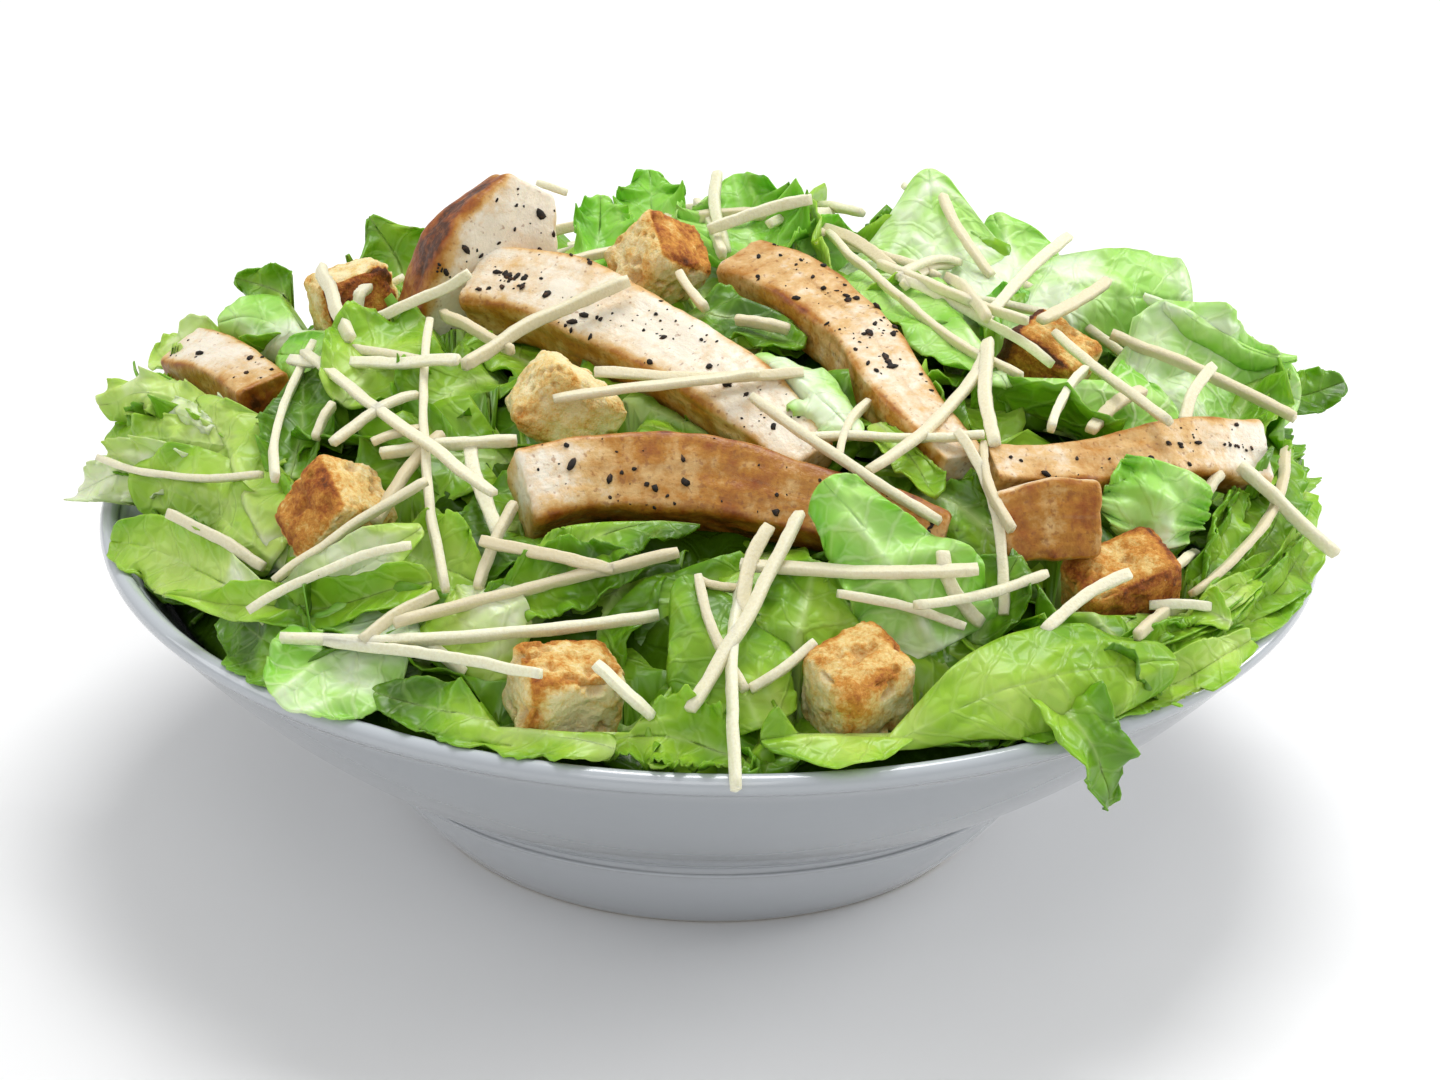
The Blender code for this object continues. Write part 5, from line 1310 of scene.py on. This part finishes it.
def heapSampler():
    heap = frame["nodes"]["lettuce_heap"]
    tree = BVHTree.FromObject(heap, bpy.context.evaluated_depsgraph_get())

    def heapHeight(x, y):
        found = tree.ray_cast(Vector((x * mm, y * mm, 0.3)), Vector((0.0, 0.0, -1.0)))
        return 66.0 if found[0] is None else found[0].z / mm

    def heapNormal(x, y):
        found = tree.ray_cast(Vector((x * mm, y * mm, 0.3)), Vector((0.0, 0.0, -1.0)))
        return np.array((0.0, 0.0, 1.0)) if found[0] is None else np.array(found[1])
    return heapHeight, heapNormal


def fillerLeaf(rng, bearing, radius, heapHeight, heapNormal, sink):
    # a leaf of random size that lies on the heap, its tip pointing mostly outwards
    spot = radius * np.array([math.cos(bearing), math.sin(bearing)])
    way = bearing + rng.normal(0.0, 0.9)
    run = np.array([math.cos(way), math.sin(way)])
    length = rng.uniform(*filler["length"])
    knots = []
    for share, raise_ in ((-0.5, -5.0), (-0.1, 1.0), (0.3, 2.0), (0.5, rng.uniform(-1.0, 4.0))):
        flat = spot + run * length * share
        reach = np.hypot(*flat)
        flat = flat * min(1.0, 122.0 / max(reach, 1.0))
        inward = min(1.0, 112.0 / max(np.hypot(*flat), 1.0))
        knots.append((*flat, min(heapHeight(*(flat * inward)), filler["highest"]) - sink + raise_))
    normal = unit(heapNormal(*(spot * min(1.0, 108.0 / radius))) + rng.normal(0.0, 0.3, 3))
    if normal[2] < 0.3:
        normal = np.array((0.0, 0.0, 1.0))
    faces = [normal, unit(normal + rng.normal(0.0, 0.25, 3))]
    # painted shade: leaves on the near side (sine of the bearing under 0.25) have their paleness cut to 0.55 of its
    # value, darker green standing in for the shade under the leaves laid over them
    return dict(path=knots, face=faces, width=rng.uniform(*filler["width"]), pale=rng.choice(filler["pale"]) * (0.55 if math.sin(bearing) < 0.25 else 1.0),
                fold=rng.uniform(-12, 18), curl=rng.uniform(-35, 40), ruffle=rng.uniform(0.8, 3.0),
                waves=rng.uniform(2.0, 4.5), rib=rng.uniform(1.0, 2.0), base=rng.uniform(0.4, 0.8),
                tip=rng.uniform(0.15, 0.5), crumple=rng.uniform(0.8, 1.8), under=True, tear=0.1)


def rimLeaf(rng, bearing):
    # a leaf that lies along the wall just inside the rim, its back to the bowl
    knots = []
    for share in (-0.5, 0.0, 0.5):
        turn = bearing + share * rng.uniform(0.3, 0.46)
        reach = rng.uniform(106.0, 111.0)
        knots.append((reach * math.cos(turn), reach * math.sin(turn), rng.uniform(70.0, 75.0)))
    face = unit(np.array([0.6 * math.cos(bearing), 0.6 * math.sin(bearing), 0.65]) + rng.normal(0.0, 0.12, 3))
    return dict(path=knots, face=[face, face], width=rng.uniform(18.0, 26.0), pale=rng.choice(filler["pale"]),
                fold=rng.uniform(-8, 14), curl=rng.uniform(-24, 24), ruffle=rng.uniform(1.2, 2.6),
                waves=rng.uniform(2.5, 4.5), rib=rng.uniform(1.0, 1.6), base=0.6, tip=0.4, crumple=1.6,
                under=True, tear=0.12)


def makeRomaine(heapHeight, heapNormal):
    material = romaineLeaf("tornRomaine")
    heroes = {"romaine_leaves_left": [], "romaine_leaves_right": [], "romaine_leaves_heart": []}
    for index, (name, leaf) in enumerate(heroLeaves.items()):
        side = "right" if leaf["path"][1][0] > 0 else "left"
        heroes["romaine_leaves_" + ("heart" if leaf.get("heart") else side)].append(leafSheet(leaf, 50, 29, 401 + 7 * index))
    heart = romaineLeaf("tornRomaineHeart", "heart")
    for name, parts in heroes.items():
        makePiece(name, *joinParts(parts)[:2], heart if name.endswith("heart") else material, "romaine", (),
                  *joinParts(parts)[2:])
    rng = np.random.default_rng(filler["seed"])
    low, high = [], []
    golden = math.pi * (3.0 - math.sqrt(5.0))
    for index in range(filler["lowCount"]):
        # a ring of leaves along the wall of the bowl
        bearing = 2.0 * math.pi * index / filler["lowCount"] + rng.uniform(-0.06, 0.06)
        leaf = fillerLeaf(rng, bearing, rng.uniform(92.0, 108.0), heapHeight, heapNormal, 3.0)
        low.append(leafSheet(leaf, 30, 19, 1001 + index))
    rimRng = np.random.default_rng(filler["seed"] + 1)
    for index in range(filler["rimCount"]):
        # the far side has no leaves from the list above, so more lie along the wall there
        bearing = math.radians(-5.0 + 200.0 * (index + 0.5) / filler["rimCount"])
        low.append(leafSheet(rimLeaf(rimRng, bearing), 30, 19, 3001 + index))
    for index in range(filler["topCount"]):
        radius = 100.0 * math.sqrt((index + 0.5) / filler["topCount"])
        bearing = index * golden
        seen = math.sin(bearing) < 0.25 or radius < 80.0
        leaf = fillerLeaf(rng, bearing, radius, heapHeight, heapNormal, 5.5 if seen else 2.5)
        high.append(leafSheet(leaf, 28, 19, 2001 + index))
    for name, parts in (("romaine_wall_leaves", low), ("romaine_heap_leaves", high)):
        makePiece(name, *joinParts(parts)[:2], material, "romaine", (), *joinParts(parts)[2:])
    print("romaine:", len(heroLeaves) + len(low) + len(high), "leaves")


makeCamera()
makeStage()
print("camera, floor and light")
makeBowl()
print("bowl")
meat = grilledChicken()
surfaces = {name: makeStrip(name, strip, meat) for name, strip in chicken.items()}
makeStrip("chicken_shaving", shaving, meat)
print("chicken:", len(surfaces) + 1, "pieces")
makePepper(surfaces)
bread = toastedBread()
for croutonName, crouton in croutons.items():
    makeCrouton(croutonName, crouton, bread)
print("croutons:", len(croutons))
heapHeight, heapNormal = heapSampler()
makeCore()
makeRomaine(heapHeight, heapNormal)
laid = [piece for piece in bpy.data.objects if piece.name.startswith(("romaine", "sliced", "toasted"))]
makeCheese(heapHeight, laid)
